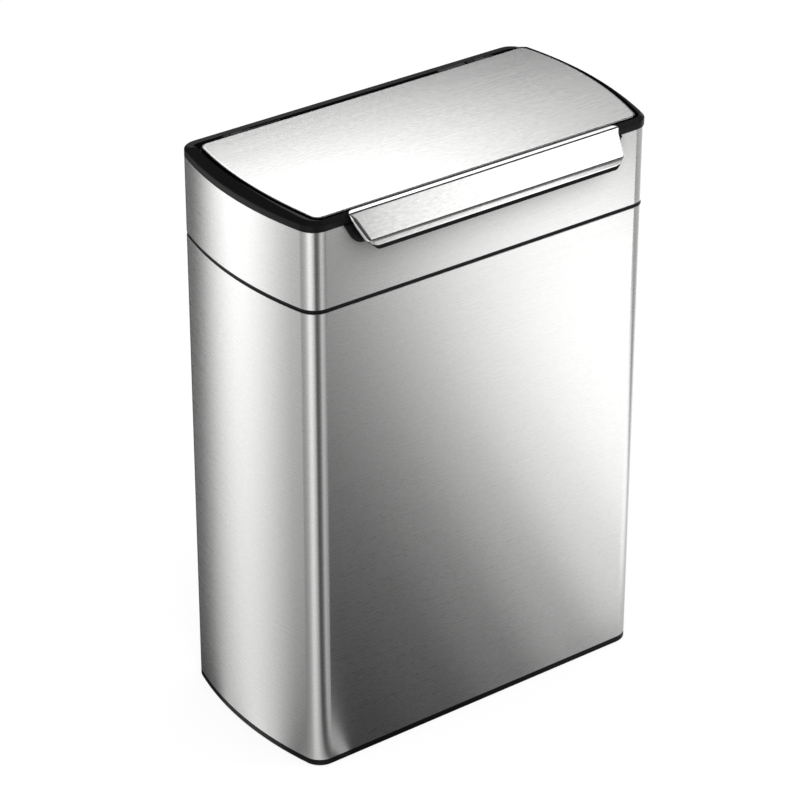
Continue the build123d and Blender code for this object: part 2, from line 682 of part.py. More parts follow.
def lid_tray():
    """The black underside: border round the skin, ribbed hollow, lip into the throat."""
    tray = prism(lid_plan(-LID_BORDER), TRAY_LOW, FAR) & under_arch(LID_TOP - LID_EDGE, TRAY_LOW)
    tray += prism(lid_plan(SHEET + FIT), TRAY_LOW, FAR) & under_arch(LID_TOP - LID_ROLL, TRAY_LOW)
    hollow = prism(lid_plan(SHEET + FIT + MOULDING), TRAY_LOW + TRAY_FLOOR, FAR)
    tray -= hollow
    ribs = [block(-WIDTH, WIDTH, -RIB / 2, RIB / 2, TRAY_LOW, FAR)]
    pitch = 2 * LID_HALF / (TRAY_RIBS + 1)
    for index in range(TRAY_RIBS):
        x = -LID_HALF + (index + 1) * pitch
        ribs.append(block(x - RIB / 2, x + RIB / 2, -DEPTH, DEPTH, TRAY_LOW, FAR))
    tray += (Part() + ribs) & hollow & under_arch(LID_TOP - SHEET - FIT, TRAY_LOW)
    lip_low = TRAY_LOW - LIP_HEIGHT
    tray += ring(throat_plan(LIP_INSET), throat_plan(LIP_INSET + MOULDING), lip_low, TRAY_LOW)
    for x, y in leaf_screw_places():
        tray -= both_sides(post(x, y, SCREW_SHANK_RADIUS, TRAY_LOW, TRAY_LOW + SCREW_BITE))
    for x, y in strike_screw_places():
        tray -= post(x, y, SCREW_SHANK_RADIUS, TRAY_LOW, TRAY_LOW + SCREW_BITE)
    return tray


def lid_strike():
    """The hook under the lid's front that drops into the latch."""
    nose_top = STRIKE_LOW + STRIKE_NOSE_HEIGHT
    hook = [
        (STRIKE_FRONT, TRAY_LOW),
        (STRIKE_FRONT, STRIKE_LOW),
        (STRIKE_REAR, STRIKE_LOW),
        (NOSE_REAR, (STRIKE_LOW + nose_top) / 2),
        (NOSE_REAR, nose_top),
        (STRIKE_REAR, nose_top),
        (STRIKE_REAR, TRAY_LOW),
    ]
    strike = side_profile(hook, -STRIKE_HALF, STRIKE_HALF)
    rear = STRIKE_FRONT + STRIKE_FOOT_DEPTH
    half = STRIKE_FOOT_HALF
    strike += block(-half, half, STRIKE_FRONT, rear, TRAY_LOW - LEAF, TRAY_LOW)
    for x, y in strike_screw_places():
        strike -= flat_screw(x, y)
    return strike


BAR_TIP = (-HALF_DEPTH - BAR_TIP_OUT, BAND_HIGH + BAR_TIP_UP)
BAR_BEND = (-HALF_DEPTH - BAR_BEND_OUT, BAND_HIGH + BAR_BEND_UP)
BAR_NOSE = (-HALF_DEPTH - BAR_NOSE_OUT, BAND_HIGH - BAR_NOSE_DOWN)
BAR_FOOT = (-HALF_DEPTH - BAR_LOW_OUT, BAR_LOW_Z)


def beyond(start, end, factor):
    """The point past end on the line from start, at factor times their distance."""
    return tuple(a + (b - a) * factor for a, b in zip(start, end))


def bar_section(inset):
    """The touch bar's folded section, run on past its tip and foot, moved in evenly."""
    tip = beyond(BAR_BEND, BAR_TIP, 8)
    foot = beyond(BAR_NOSE, BAR_FOOT, 6)
    outline = make_face(Polyline(tip, BAR_BEND, BAR_NOSE, foot, (tip[0], foot[1]), close=True))
    outline = offset(outline, -inset, kind=Kind.INTERSECTION) if inset else outline
    corners_in_order = outline.vertices().sort_by(Axis.X)
    nose = [v for v in corners_in_order if abs(v.Y - BAR_NOSE[1]) < BAR_BEND_RADIUS + inset]
    outline = fillet(nose, BAR_NOSE_RADIUS - inset / 2)
    bend = [v for v in outline.vertices() if abs(v.Y - BAR_BEND[1]) < BAR_BEND_RADIUS + inset]
    outline = fillet(bend, BAR_BEND_RADIUS - inset / 2)
    return Plane(origin=(0, 0, 0), x_dir=(0, 1, 0), z_dir=(1, 0, 0)) * outline


def bar_front(inset, low):
    """The touch bar's outline seen from the front, moved in at the sides and the top."""
    top = BAR_TIP[1]
    middle = (BAR_HALF - BAR_TAPER_MID, BAR_NOSE[1])
    foot = (BAR_HALF - BAR_TAPER_LOW, BAR_LOW_Z)
    half = [(BAR_HALF, top), middle, beyond(middle, foot, 2)]
    other = [(-x, z) for x, z in reversed(half)]
    outline = make_face(Polyline(*half, *other, close=True))
    outline = offset(outline, -inset, kind=Kind.INTERSECTION) if inset else outline
    outline &= Pos(0, low + FAR / 2) * Rectangle(FAR, FAR)
    ends = outline.vertices().sort_by(Axis.Y)
    outline = fillet(ends[-2:], BAR_CORNER_TOP - inset / 2)
    outline = fillet(outline.vertices().sort_by(Axis.Y)[:2], BAR_CORNER_LOW - inset / 2)
    return Plane(origin=(0, 0, 0), x_dir=(1, 0, 0), z_dir=(0, -1, 0)) * outline


def bar_form(inset, low):
    """The touch bar as a solid block, moved in evenly and ending at a level."""
    section = extrude(bar_section(inset), amount=WIDTH, both=True)
    return section & extrude(bar_front(inset, low), amount=WIDTH)


def bar_skin():
    """The folded steel face of the touch bar, with returns round its edges."""
    shell = bar_form(0, BAR_LOW_Z) - bar_form(BAR_SHEET, BAR_LOW_Z - BAR_CORNER_LOW)
    run = math.dist(BAR_BEND, BAR_NOSE)
    along = ((BAR_NOSE[0] - BAR_BEND[0]) / run, (BAR_NOSE[1] - BAR_BEND[1]) / run)
    behind = (-along[1] * BAR_RETURN, along[0] * BAR_RETURN)
    start = beyond(BAR_NOSE, BAR_BEND, 3)
    end = beyond(BAR_BEND, BAR_NOSE, 3)
    band = [start, end, (end[0] + behind[0], end[1] + behind[1])]
    band.append((start[0] + behind[0], start[1] + behind[1]))
    front = [(band[0][0] - BAR_RETURN, band[0][1]), (band[1][0] - BAR_RETURN, band[1][1])]
    keep = side_profile([front[0], front[1], band[2], band[3]], -WIDTH, WIDTH)
    tail = block(-WIDTH, WIDTH, -FAR, BAR_TIP[0], -FAR, FAR)
    under_flange = extrude(bar_section(BAR_SHEET), amount=WIDTH, both=True)
    near_rim = block(-WIDTH, WIDTH, -HALF_DEPTH - BAR_RIM_GAP, FAR, -FAR, FAR)
    return (shell & keep & tail) - (under_flange & near_rim)


def carrier_zone():
    """The room that the carrier may fill in front of the housing."""
    high = -HALF_DEPTH - BAR_BACK_HIGH
    low = -HALF_DEPTH - BAR_BACK_LOW
    turn = PIVOT_Z + BAR_BACK_EASE
    points = [
        (high, FAR),
        (high, turn),
        (low, turn - BAR_BACK_STEP),
        (low, CARRIER_LOW_Z),
        (-FAR, CARRIER_LOW_Z),
        (-FAR, FAR),
    ]
    return side_profile(points, -WIDTH, WIDTH)


def eye_spans():
    """Faces along X of the carrier's eyes on each side of the right housing lug."""
    low = PIVOT_X - PIVOT_LUG_WIDTH / 2 - PIVOT_SIDE_GAP
    high = PIVOT_X + PIVOT_LUG_WIDTH / 2 + PIVOT_SIDE_GAP
    return (low - PIVOT_EYE_WIDTH, low), (high, high + PIVOT_EYE_WIDTH)


def carrier_ribs():
    """Cross ribs, pivot webs and a middle boss inside the carrier."""
    ribs = block(-CARRIER_BOSS, CARRIER_BOSS, -WIDTH, 0, 0, FAR)
    for index in range(1, int(BAR_HALF / CARRIER_PITCH) + 1):
        x = index * CARRIER_PITCH
        if abs(x - PIVOT_X) > PIVOT_LUG_WIDTH / 2 + PIVOT_EYE_WIDTH + RIB:
            ribs += both_sides(block(x - RIB / 2, x + RIB / 2, -WIDTH, 0, 0, FAR))
    for span in eye_spans():
        ribs += both_sides(block(*span, -WIDTH, 0, 0, FAR))
    return ribs


def bar_carrier():
    """The black moulding inside the touch bar: ribbed, open at the back, with pivot eyes."""
    zone = carrier_zone()
    form = bar_form(BAR_SHEET, CARRIER_LOW_Z) & zone
    hollow = bar_form(BAR_SHEET + RIB, CARRIER_LOW_Z + RIB) - carrier_ribs()
    carrier = form - hollow
    for span in eye_spans():
        carrier += both_sides(round_bar(PIVOT_Y, PIVOT_Z, PIVOT_EYE_RADIUS, *span))
        carrier -= both_sides(round_bar(PIVOT_Y, PIVOT_Z, PIVOT_PIN_RADIUS, *span))
    return carrier - bar_tongue()


def bar_pin():
    """The pin through one housing lug and the eyes beside it."""
    inner, outer = eye_spans()
    return round_bar(PIVOT_Y, PIVOT_Z, PIVOT_PIN_RADIUS, inner[0], outer[1])


def bar_tongue():
    """The finger that reaches through the collar to the slider."""
    back = -HALF_DEPTH - BAR_BACK_LOW - TONGUE_ROOT
    tip = SLIDER_FRONT - TONGUE_GAP
    return block(-TONGUE_HALF, TONGUE_HALF, back, tip, TONGUE_LOW_Z, TONGUE_TOP_Z)


def bucket_tub():
    """The right bucket: tapered walls, turned-down rim, hand holds front and rear."""
    foot = BUCKET_RIM + BUCKET_DRAFT
    outer = tapered(bucket_plan(foot), BUCKET_LOW, bucket_plan(BUCKET_RIM), BUCKET_TOP)
    outer = fillet(outer.faces().sort_by(Axis.Z)[0].edges(), BUCKET_FOOT_ROUND)
    inner_low = BUCKET_LOW + BUCKET_WALL
    inner_foot = bucket_plan(foot + BUCKET_WALL)
    inner_rim = bucket_plan(BUCKET_RIM + BUCKET_WALL)
    inner = tapered(inner_foot, inner_low, inner_rim, BUCKET_TOP)
    rim = ring(bucket_plan(), inner_rim, BUCKET_TOP - BUCKET_RIM_THICK, BUCKET_TOP)
    skirt_low = BUCKET_TOP - BUCKET_RIM_SKIRT
    skirt = ring(bucket_plan(), bucket_plan(BUCKET_RIM_THICK), skirt_low, BUCKET_TOP)
    middle = (BUCKET_SPLIT / 2 + THROAT_HALF - BUCKET_CLEAR) / 2
    grip_plane = Plane(
        origin=(middle, 0, BUCKET_TOP - GRIP_DROP), x_dir=(1, 0, 0), z_dir=(0, -1, 0)
    )
    grip = extrude(grip_plane * SlotOverall(GRIP_WIDTH, GRIP_HEIGHT), amount=DEPTH, both=True)
    return outer - inner + rim + skirt - grip


def group(pieces):
    """Pieces of one kind that stay separate solids."""
    return Compound([solid for piece in pieces for solid in piece.solids()])


def pair(piece):
    """A piece and its mirror image as separate solids."""
    return group([piece, mirror(piece, about=Plane.YZ)])


leaf_screws = [pair(flat_screw(x, y)) for x, y in leaf_screw_places()]
strike_screws = [flat_screw(x, y) for x, y in strike_screw_places()]
bumper_low = LEDGE_TOP + SEAT
NODES = {
    "base_pan": base_pan(),
    "floor_pads": group([floor_pad(x, y) for x, y in PADS]),
    "base_screws": group([base_screw(x, y) for x, y in PADS]),
    "body_shell": steel_wrap(BODY_LOW, BODY_HIGH),
    "seam_ring": seam_ring(),
    "collar_band": steel_wrap(BAND_LOW, BAND_HIGH) - tongue_window(),
    "collar_frame": collar_frame(),
    "frame_screws": group([frame_screw(x, y) for x, y in BOSSES]),
    "rim_bezel": rim_bezel(),
    "bar_housing": bar_housing(),
    "latch_box": latch_box(),
    "hinge_lugs": pair(group([hinge_lug(hinge_spans()[0]), hinge_lug(hinge_spans()[2])])),
    "lid_spring": mirror(lid_spring(), about=Plane.YZ),
    "lid_damper": lid_damper(),
    "lid_skin": lid_skin(),
    "lid_tray": lid_tray(),
    "lid_bumpers": group([post(x, y, BUMPER_RADIUS, bumper_low, TRAY_LOW) for x, y in BUMPERS]),
    "lid_strike": lid_strike(),
    "lid_screws": group([*leaf_screws, *strike_screws]),
    "hinge_pins": pair(hinge_pin()),
    "hinge_arms": pair(hinge_arm()),
    "bar_skin": bar_skin(),
    "bar_carrier": bar_carrier(),
    "bar_pins": pair(bar_pin()),
    "bar_tongue": bar_tongue(),
    "latch_slider": latch_slider(),
    "bucket_right_tub": bucket_tub(),
    "bucket_left_tub": mirror(bucket_tub(), about=Plane.YZ),
}

os.makedirs("parts", exist_ok=True)
for name, piece in NODES.items():
    export_step(Pos(0, BIN_SHIFT, 0) * piece, f"parts/{name}.step")
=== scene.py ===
import json
import logging
import math
from dataclasses import dataclass
from enum import Enum
from typing import Sequence

import bpy
import numpy as np
from bpy.types import ID, Material, Mesh, Node, NodeOutputs, NodeSocket, NodeTree, Object
from mathutils import Matrix, Vector


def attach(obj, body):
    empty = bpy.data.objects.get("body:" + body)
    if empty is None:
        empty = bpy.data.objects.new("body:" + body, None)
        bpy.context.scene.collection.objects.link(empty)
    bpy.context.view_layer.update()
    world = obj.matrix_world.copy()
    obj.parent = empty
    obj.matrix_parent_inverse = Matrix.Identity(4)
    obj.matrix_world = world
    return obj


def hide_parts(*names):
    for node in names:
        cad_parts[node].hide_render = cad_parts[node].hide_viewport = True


# Looks for the recycling bin with a touch bar: brushed steel wraps, black mouldings,
# two grey buckets. Lengths in metres, front towards -Y, origin under the bin's middle.

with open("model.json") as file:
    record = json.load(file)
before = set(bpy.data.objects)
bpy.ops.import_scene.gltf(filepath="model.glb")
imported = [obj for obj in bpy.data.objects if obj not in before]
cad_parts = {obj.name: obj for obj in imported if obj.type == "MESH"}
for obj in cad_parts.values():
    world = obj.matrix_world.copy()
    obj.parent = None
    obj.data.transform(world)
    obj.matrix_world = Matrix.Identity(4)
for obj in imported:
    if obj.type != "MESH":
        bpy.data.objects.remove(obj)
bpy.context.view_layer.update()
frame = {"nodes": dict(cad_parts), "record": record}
LOG = logging.getLogger("bin")

Pair = tuple[float, float]
Ramp = tuple[Pair, ...]
Span = tuple[float, float, float, float]
Triple = tuple[float, float, float]

WHITE = (1.0, 1.0, 1.0, 1.0)
# The brushing: the share of each line noise, the coarse one's scale, how much flecks differ
FINE_SHARE, COARSE_SHARE, COARSE_SCALE, FLECK_SHARE = 0.65, 0.35, 0.21, 0.45


def mm(value: float) -> float:
    """Millimetres in metres."""
    return value / 1000.0


CABINET_SHIFT = mm(13.2)


def place(x: float, y: float, z: float) -> Vector:
    """A point given in millimetres from the cabinet's middle."""
    return Vector((mm(x), mm(y) + CABINET_SHIFT, mm(z)))


def unit(vector: np.ndarray) -> np.ndarray:
    """The vector at length one."""
    return vector / np.linalg.norm(vector)


def put_in_scene(name: str, data: ID) -> Object:
    """Makes an object at the origin from a mesh, curve, light or camera.

    Args:
        name: The object's name.
        data: What it shows.

    Returns:
        The new object.
    """
    thing = bpy.data.objects.new(name, data)
    bpy.context.scene.collection.objects.link(thing)
    return thing


def new_piece(name: str, points: Sequence[Vector], faces: Sequence[Sequence[int]],
              finish: Material) -> Object:
    """Makes a mesh object at the origin with one finish.

    Args:
        name: The object's name.
        points: The mesh's points in metres.
        faces: The point numbers of each face.
        finish: The material.

    Returns:
        The new object.
    """
    mesh = bpy.data.meshes.new(name)
    mesh.from_pydata([tuple(point) for point in points], [], [tuple(face) for face in faces])
    mesh.materials.append(finish)
    return put_in_scene(name, mesh)


def shade_smooth(piece: Object) -> None:
    """Shades every face of a piece smooth."""
    for face in piece.data.polygons:
        face.use_smooth = True


def grid_faces(rows: int, columns: int, wrap: bool = False) -> list[tuple[int, int, int, int]]:
    """Faces of a grid of points that lie row by row.

    Args:
        rows: How many rows there are.
        columns: How many points a row has.
        wrap: True joins the last point of a row to its first.

    Returns:
        The point numbers of each face.
    """
    faces = []
    for row in range(rows - 1):
        for column in range(columns if wrap else columns - 1):
            after = (column + 1) % columns
            low, high = row * columns, (row + 1) * columns
            faces.append((low + column, low + after, high + after, high + column))
    return faces


class Tree:
    """A node tree with short ways to add and join nodes."""

    def __init__(self, tree: NodeTree) -> None:
        """Wraps the node tree to build in."""
        self.tree = tree

    def add(self, kind: str, **values: object) -> Node:
        """Adds a node.

        Args:
            kind: The node's type name.
            **values: Properties of the node, or values or sockets for its inputs,
                where the name of an input has underscores for spaces.

        Returns:
            The new node.
        """
        node = self.tree.nodes.new(kind)
        for name, value in values.items():
            if hasattr(node, name):
                setattr(node, name, value)
            else:
                self.put(node, name.replace("_", " "), value)
        return node

    def put(self, node: Node, name: str | int, value: object) -> None:
        """Sets one input to a value, or links it where the value is a socket.

        Args:
            node: The node that has the input.
            name: The input's name or number.
            value: A plain value or an output socket.
        """
        socket = node.inputs[name]
        if isinstance(value, NodeSocket):
            self.tree.links.new(value, socket)
        else:
            socket.default_value = value

    def of(self, kind: str, items: Sequence[object], **values: object) -> NodeSocket:
        """Adds a node whose inputs are given by their order.

        Args:
            kind: The node's type name.
            items: Its inputs' values or sockets, None for one that is left as it is.
            **values: Properties of the node.

        Returns:
            The node's first output.
        """
        node = self.add(kind, **values)
        for index, item in enumerate(items):
            if item is not None:
                self.put(node, index, item)
        return node.outputs[0]

    def math(self, operation: str, *values: object) -> NodeSocket:
        """The result of an operation on numbers."""
        return self.of("ShaderNodeMath", values, operation=operation)

    def scale(self, vector: object, factors: object) -> NodeSocket:
        """A vector with each of its numbers multiplied by its own factor."""
        return self.of("ShaderNodeVectorMath", (vector, factors), operation="MULTIPLY")

    def noise(self, vector: object, detail: float, roughness: float = 0.5,
              scale: object = 1.0) -> NodeSocket:
        """A noise read at a vector, with its finer layers' number and strength."""
        return self.add("ShaderNodeTexNoise", Vector=vector, Scale=scale, Detail=detail,
                        Roughness=roughness).outputs[0]

    def where(self) -> NodeSocket:
        """The shaded point in its object's own coordinates."""
        return self.add("ShaderNodeTexCoord").outputs["Object"]

    def split(self, vector: NodeSocket) -> NodeOutputs:
        """The three numbers of a vector."""
        return self.add("ShaderNodeSeparateXYZ", Vector=vector).outputs

    def span(self, value: object, low: object, high: object, start: float = 0.0, end: float = 1.0,
             smooth: bool = False) -> NodeSocket:
        """Maps a value from low and high to start and end, and keeps it between them.

        Args:
            value: The socket to map.
            low: The value that gives start.
            high: The value that gives end.
            start: The result at low.
            end: The result at high.
            smooth: True eases both ends.

        Returns:
            The mapped value.
        """
        easing = "SMOOTHSTEP" if smooth else "LINEAR"
        return self.of("ShaderNodeMapRange", (value, low, high, start, end), interpolation_type=easing)

    def blend(self, factor: object, first: object, second: object) -> NodeSocket:
        """Mixes two numbers: a factor of 0 gives the first, 1 the second."""
        return self.of("ShaderNodeMix", (factor, None, first, second), data_type="FLOAT")

    def curve(self, value: object, points: Ramp) -> NodeSocket:
        """Reads a number off a smooth ramp.

        Args:
            value: The place on the ramp, from 0 to 1.
            points: Pairs of place and number, in order.

        Returns:
            The ramp's number.
        """
        node = self.add("ShaderNodeValToRGB")
        ramp = node.color_ramp
        ramp.interpolation = "EASE"
        ramp.elements[0].position, ramp.elements[1].position = points[0][0], points[-1][0]
        for spot, _ in points[1:-1]:
            ramp.elements.new(spot)
        for element, (_, level) in zip(ramp.elements, points):
            element.color = (level, level, level, 1.0)
        self.put(node, 0, value)
        return node.outputs[0]

    def dress(self, end: Node, geometry: NodeSocket, finish: NodeSocket) -> None:
        """Ends a geometry tree: makes its copies real and gives them their material.

        Args:
            end: The tree's output node.
            geometry: What the tree has made.
            finish: The material.
        """
        real = self.add("GeometryNodeRealizeInstances", Geometry=geometry)
        dressed = self.add("GeometryNodeSetMaterial", Geometry=real.outputs[0], Material=finish)
        self.put(end, 0, dressed.outputs[0])


def start_group(kind: str, name: str, inputs: dict[str, tuple[str, object]],
                outputs: dict[str, str]) -> tuple[Tree, NodeOutputs, Node]:
    """Starts a node group.

    Args:
        kind: The kind of its tree.
        name: The group's name.
        inputs: Input names with their socket type and default value, or None without one.
        outputs: Output names with their socket type.

    Returns:
        The tree, its inputs' sockets and its output node.
    """
    group = bpy.data.node_groups.new(name, kind)
    for label, (sort, value) in inputs.items():
        socket = group.interface.new_socket(label, in_out="INPUT", socket_type=f"NodeSocket{sort}")
        if value is not None:
            socket.default_value = value
    for label, sort in outputs.items():
        group.interface.new_socket(label, in_out="OUTPUT", socket_type=f"NodeSocket{sort}")
    tree = Tree(group)
    return tree, tree.add("NodeGroupInput").outputs, tree.add("NodeGroupOutput")


def start_material(name: str) -> tuple[Material, Tree, Node]:
    """Starts a material.

    Args:
        name: Its name.

    Returns:
        The material, its tree and its shader node.
    """
    material = bpy.data.materials.new(name)
    material.use_nodes = True
    return material, Tree(material.node_tree), material.node_tree.nodes["Principled BSDF"]


def make_grain_group() -> NodeTree:
    """Builds the brushing: long fine lines, flecks, soft patches, and a height for the bump.

    Returns:
        The node group.
    """
    tree, given, end = start_group(
        "ShaderNodeTree", "Brushed grain",
        {"Stretch": ("Vector", (1.0, 1.0, 1.0)), "Fleck": ("Vector", (1.0, 1.0, 1.0)),
         "Mottle": ("Vector", (1.0, 1.0, 1.0)), "Line Contrast": ("Float", 0.1),
         "Drift": ("Float", 0.05)},
        {"Shade": "Float", "Height": "Float", "Roughness Shift": "Float"},
    )
    spot = tree.where()
    stretched = tree.scale(spot, given["Stretch"])
    fine = tree.noise(stretched, 3.0, 0.65)
    coarse = tree.noise(stretched, 2.0, scale=COARSE_SCALE)
    patches = tree.noise(tree.scale(spot, given["Mottle"]), 2.0)
    fleck = tree.noise(tree.scale(stretched, given["Fleck"]), 2.0, 0.55)
    lines = tree.math("ADD", tree.math("MULTIPLY", fine, FINE_SHARE),
                      tree.math("MULTIPLY", coarse, COARSE_SHARE))
    flecks = tree.math("MULTIPLY", tree.math("SUBTRACT", fleck, 0.5), FLECK_SHARE)
    centred = tree.math("ADD", tree.math("SUBTRACT", lines, 0.5), flecks)
    soft = tree.math("MULTIPLY", tree.math("SUBTRACT", patches, 0.5), given["Drift"])
    shade = tree.math("ADD", tree.math("MULTIPLY", centred, given["Line Contrast"]), soft)
    tree.put(end, "Shade", tree.math("ADD", shade, 1.0))
    tree.put(end, "Height", lines)
    tree.put(end, "Roughness Shift", centred)
    return tree.tree


def make_surface_group() -> NodeTree:
    """Builds the surface of a moulding: a fine spark-eroded stipple and faint handling marks.

    Returns:
        The node group.
    """
    tree, given, end = start_group(
        "ShaderNodeTree", "Moulded surface",
        {"Stipple Scale": ("Float", 900.0), "Marks": ("Float", 0.05)},
        {"Height": "Float", "Roughness Shift": "Float"},
    )
    spot = tree.where()
    tree.put(end, "Height", tree.noise(spot, 2.0, scale=given["Stipple Scale"]))
    marks = tree.noise(spot, 4.0, 0.6, 14.0)
    shift = tree.math("MULTIPLY", tree.math("SUBTRACT", marks, 0.5), given["Marks"])
    tree.put(end, "Roughness Shift", shift)
    return tree.tree


@dataclass(frozen=True)
class Layout:
    """How one way of brushing lies on a piece.

    Args:
        stretch: The lines' scale along X, Y and Z.
        fleck: What the flecks' scale is multiplied by, on top of the lines'.
        mottle: The soft patches' scale.
        axis: The axis that the brushing's direction is taken about.
        turn: How far the highlight's stretch is turned from it.
    """

    stretch: Triple
    fleck: Triple
    mottle: Triple
    axis: str
    turn: float


class Grain(Enum):
    """Which way the brushing runs: level lines round a wrap, or lines along the width."""

    AROUND = Layout((14.0, 14.0, 2600.0), (5.0, 5.0, 0.38), (110.0, 110.0, 300.0), "Z", 0.25)
    ALONG = Layout((14.0, 2600.0, 2600.0), (14.0, 0.22, 0.22), (130.0, 380.0, 380.0), "X", 0.0)


@dataclass(frozen=True)
class Hem:
    """Where a domed sheet turns down at its edge, and where its colour darkens to black there.

    Args:
        top: The dome's highest level.
        middle: The dome's middle along Y.
        radius: The dome's radius.
        start: The depth under the dome where the darkening starts.
        full: The depth where it is full.
    """

    top: float
    middle: float
    radius: float
    start: float = mm(0.45)
    full: float = mm(1.3)

    def mask(self, tree: Tree) -> NodeSocket:
        """Builds the mask of the hem.

        Args:
            tree: The tree to build in.

        Returns:
            1 on the hem and 0 on the sheet.
        """
        _, y, z = tree.split(tree.where())
        along = tree.math("SUBTRACT", y, self.middle)
        drop = tree.math("DIVIDE", tree.math("MULTIPLY", along, along), 2.0 * self.radius)
        dome = tree.math("SUBTRACT", self.top, drop)
        return tree.span(tree.math("SUBTRACT", dome, z), self.start, self.full, smooth=True)


@dataclass(frozen=True)
class BrushedSteel:
    """A brushed stainless finish.

    Args:
        name: The material's name.
        grain: Which way the brushing runs.
        tone: How bright the metal is.
        roughness: The mean roughness.
        spread: How much more the brushing blurs across its lines than along them.
        contrast: How much the lines differ.
        mottling: How much soft patches differ.
        hem: Where the colour darkens to black at the sheet's turned-down edge, if it does.
        tint: The share of the tone in red, green and blue.
        shifting: How much the lines change the roughness.
        relief: How strongly the lines show as relief.
        shade_reach: How far away a part still puts painted shade on a wrap.
        shade_power: Heights where the painted shade starts and is full, and its power there.
    """

    name: str
    grain: Grain
    tone: float = 0.70
    roughness: float = 0.28
    spread: float = 0.9
    contrast: float = 0.15
    mottling: float = 0.07
    hem: Hem | None = None
    tint: Triple = (1.0, 0.997, 0.99)
    shifting: float = 0.10
    relief: float = 0.035
    shade_reach: float = 0.075
    shade_power: Span = (0.55, 0.62, 0.0, 2.3)

    def painted_shade(self, tree: Tree) -> NodeSocket:
        """Paints shade into the colour of steel where a part close in front keeps the room's light
        from it, as under the touch bar.

        Args:
            tree: The tree to build in.

        Returns:
            1 in the open, less in a sheltered place.
        """
        near = tree.add("ShaderNodeAmbientOcclusion", samples=12, Distance=self.shade_reach)
        power = tree.span(tree.split(tree.where())[2], *self.shade_power)
        return tree.math("POWER", near.outputs["AO"], power)

    def build(self, group: NodeTree) -> Material:
        """Makes the material.

        Args:
            group: The grain group.

        Returns:
            The material.
        """
        material, tree, skin = start_material(self.name)
        layout = self.grain.value
        lines = tree.add("ShaderNodeGroup", node_tree=group, Stretch=layout.stretch,
                         Fleck=layout.fleck, Mottle=layout.mottle, Line_Contrast=self.contrast,
                         Drift=self.mottling).outputs
        shade = tree.math("MULTIPLY", lines["Shade"], self.tone)
        # painted shade: the wraps' colour darkens under the touch bar and other parts close in front
        if self.grain is Grain.AROUND:
            shade = tree.math("MULTIPLY", shade, self.painted_shade(tree))
        # the colour darkens to black where the sheet turns down below its dome
        if self.hem:
            shade = tree.math("MULTIPLY", shade, tree.math("SUBTRACT", 1.0, self.hem.mask(tree)))
        tone = tree.add("ShaderNodeCombineColor")
        for index, share in enumerate(self.tint):
            tree.put(tone, index, tree.math("MULTIPLY", shade, share))
        tree.put(skin, "Base Color", tone.outputs[0])
        skin.inputs["Metallic"].default_value = 1.0
        rough = tree.math("MULTIPLY_ADD", lines["Roughness Shift"], self.shifting, self.roughness)
        tree.put(skin, "Roughness", rough)
        skin.inputs["Anisotropic"].default_value = self.spread
        if self.spread > 0.0:
            tangent = tree.add("ShaderNodeTangent", direction_type="RADIAL", axis=layout.axis)
            skin.inputs["Anisotropic Rotation"].default_value = layout.turn
            tree.put(skin, "Tangent", tangent.outputs[0])
        bump = tree.add("ShaderNodeBump", Strength=self.relief, Distance=mm(0.2),
                        Height=lines["Height"])
        tree.put(skin, "Normal", bump.outputs[0])
        return material


@dataclass(frozen=True)
class Coat:
    """A moulded or coated finish: plastic, rubber, or plain steel where it is metallic.

    Args:
        name: The material's name.
        colour: Its colour.
        roughness: The mean roughness.
        stipple: How many grains of stipple there are in a metre.
        depth: How strongly the stipple shows, 0 for none.
        marks: How much handling marks change the roughness.
        gloss: How much it mirrors.
        metallic: 1 for metal.
    """

    name: str
    colour: Triple
    roughness: float
    stipple: float = 900.0
    depth: float = 0.12
    marks: float = 0.08
    gloss: float = 0.25
    metallic: float = 0.0

    def build(self, group: NodeTree) -> Material:
        """Makes the material.

        Args:
            group: The surface group.

        Returns:
            The material.
        """
        material, tree, skin = start_material(self.name)
        surface = tree.add("ShaderNodeGroup", node_tree=group, Stipple_Scale=self.stipple,
                           Marks=self.marks).outputs
        skin.inputs["Base Color"].default_value = (*self.colour, 1.0)
        skin.inputs["Metallic"].default_value = self.metallic
        skin.inputs["Specular IOR Level"].default_value = self.gloss
        tree.put(skin, "Roughness", tree.math("ADD", surface["Roughness Shift"], self.roughness))
        if self.depth > 0.0:
            bump = tree.add("ShaderNodeBump", Strength=self.depth, Distance=mm(0.1),
                            Height=surface["Height"])
            tree.put(skin, "Normal", bump.outputs[0])
        return material


class Finishes:
    """Every finish of the bin, built once."""

    def __init__(self) -> None:
        """Builds the shared groups and the materials."""
        grain = make_grain_group()
        surface = make_surface_group()
        self.wrap = BrushedSteel("Steel brushed round", Grain.AROUND).build(grain)
        hem = Hem(mm(700.1), mm(50.0) + CABINET_SHIFT, mm(2650.0))
        self.lid = BrushedSteel("Steel brushed along", Grain.ALONG, tone=0.72, roughness=0.25,
                                spread=0.75, contrast=0.34, mottling=0.26, hem=hem).build(grain)
        self.bar = BrushedSteel("Steel brushed bar", Grain.ALONG, tone=0.74, roughness=0.16,
                                spread=0.0, contrast=0.26, mottling=0.40).build(grain)
        self.black = Coat("Black moulding", (0.006, 0.006, 0.0065), 0.42, gloss=0.13).build(surface)
        self.bucket = Coat("Grey bucket", (0.16, 0.165, 0.172), 0.5, 600.0, 0.2).build(surface)
        self.rubber = Coat("Black rubber", (0.016, 0.016, 0.016), 0.8, 500.0, 0.3).build(surface)
        metal = {"depth": 0.0, "marks": 0.15, "gloss": 0.5, "metallic": 1.0}
        self.plain = Coat("Zinc steel", (0.55, 0.55, 0.561), 0.36, **metal).build(surface)
        # painted shade: steel darkened to stand for the shade of the gap behind the lid, so the hinge
        # parts, spring and damper there show no glints
        self.gap_shade_steel = Coat("Steel darkened as gap shade", (0.035, 0.035, 0.0357), 0.45, **metal).build(surface)


FINISH_BY_SLOT = {
    "steel_brushed": "wrap", "plastic_black": "black", "plastic_bucket": "bucket",
    "rubber_black": "rubber", "steel_plain": "plain",
}
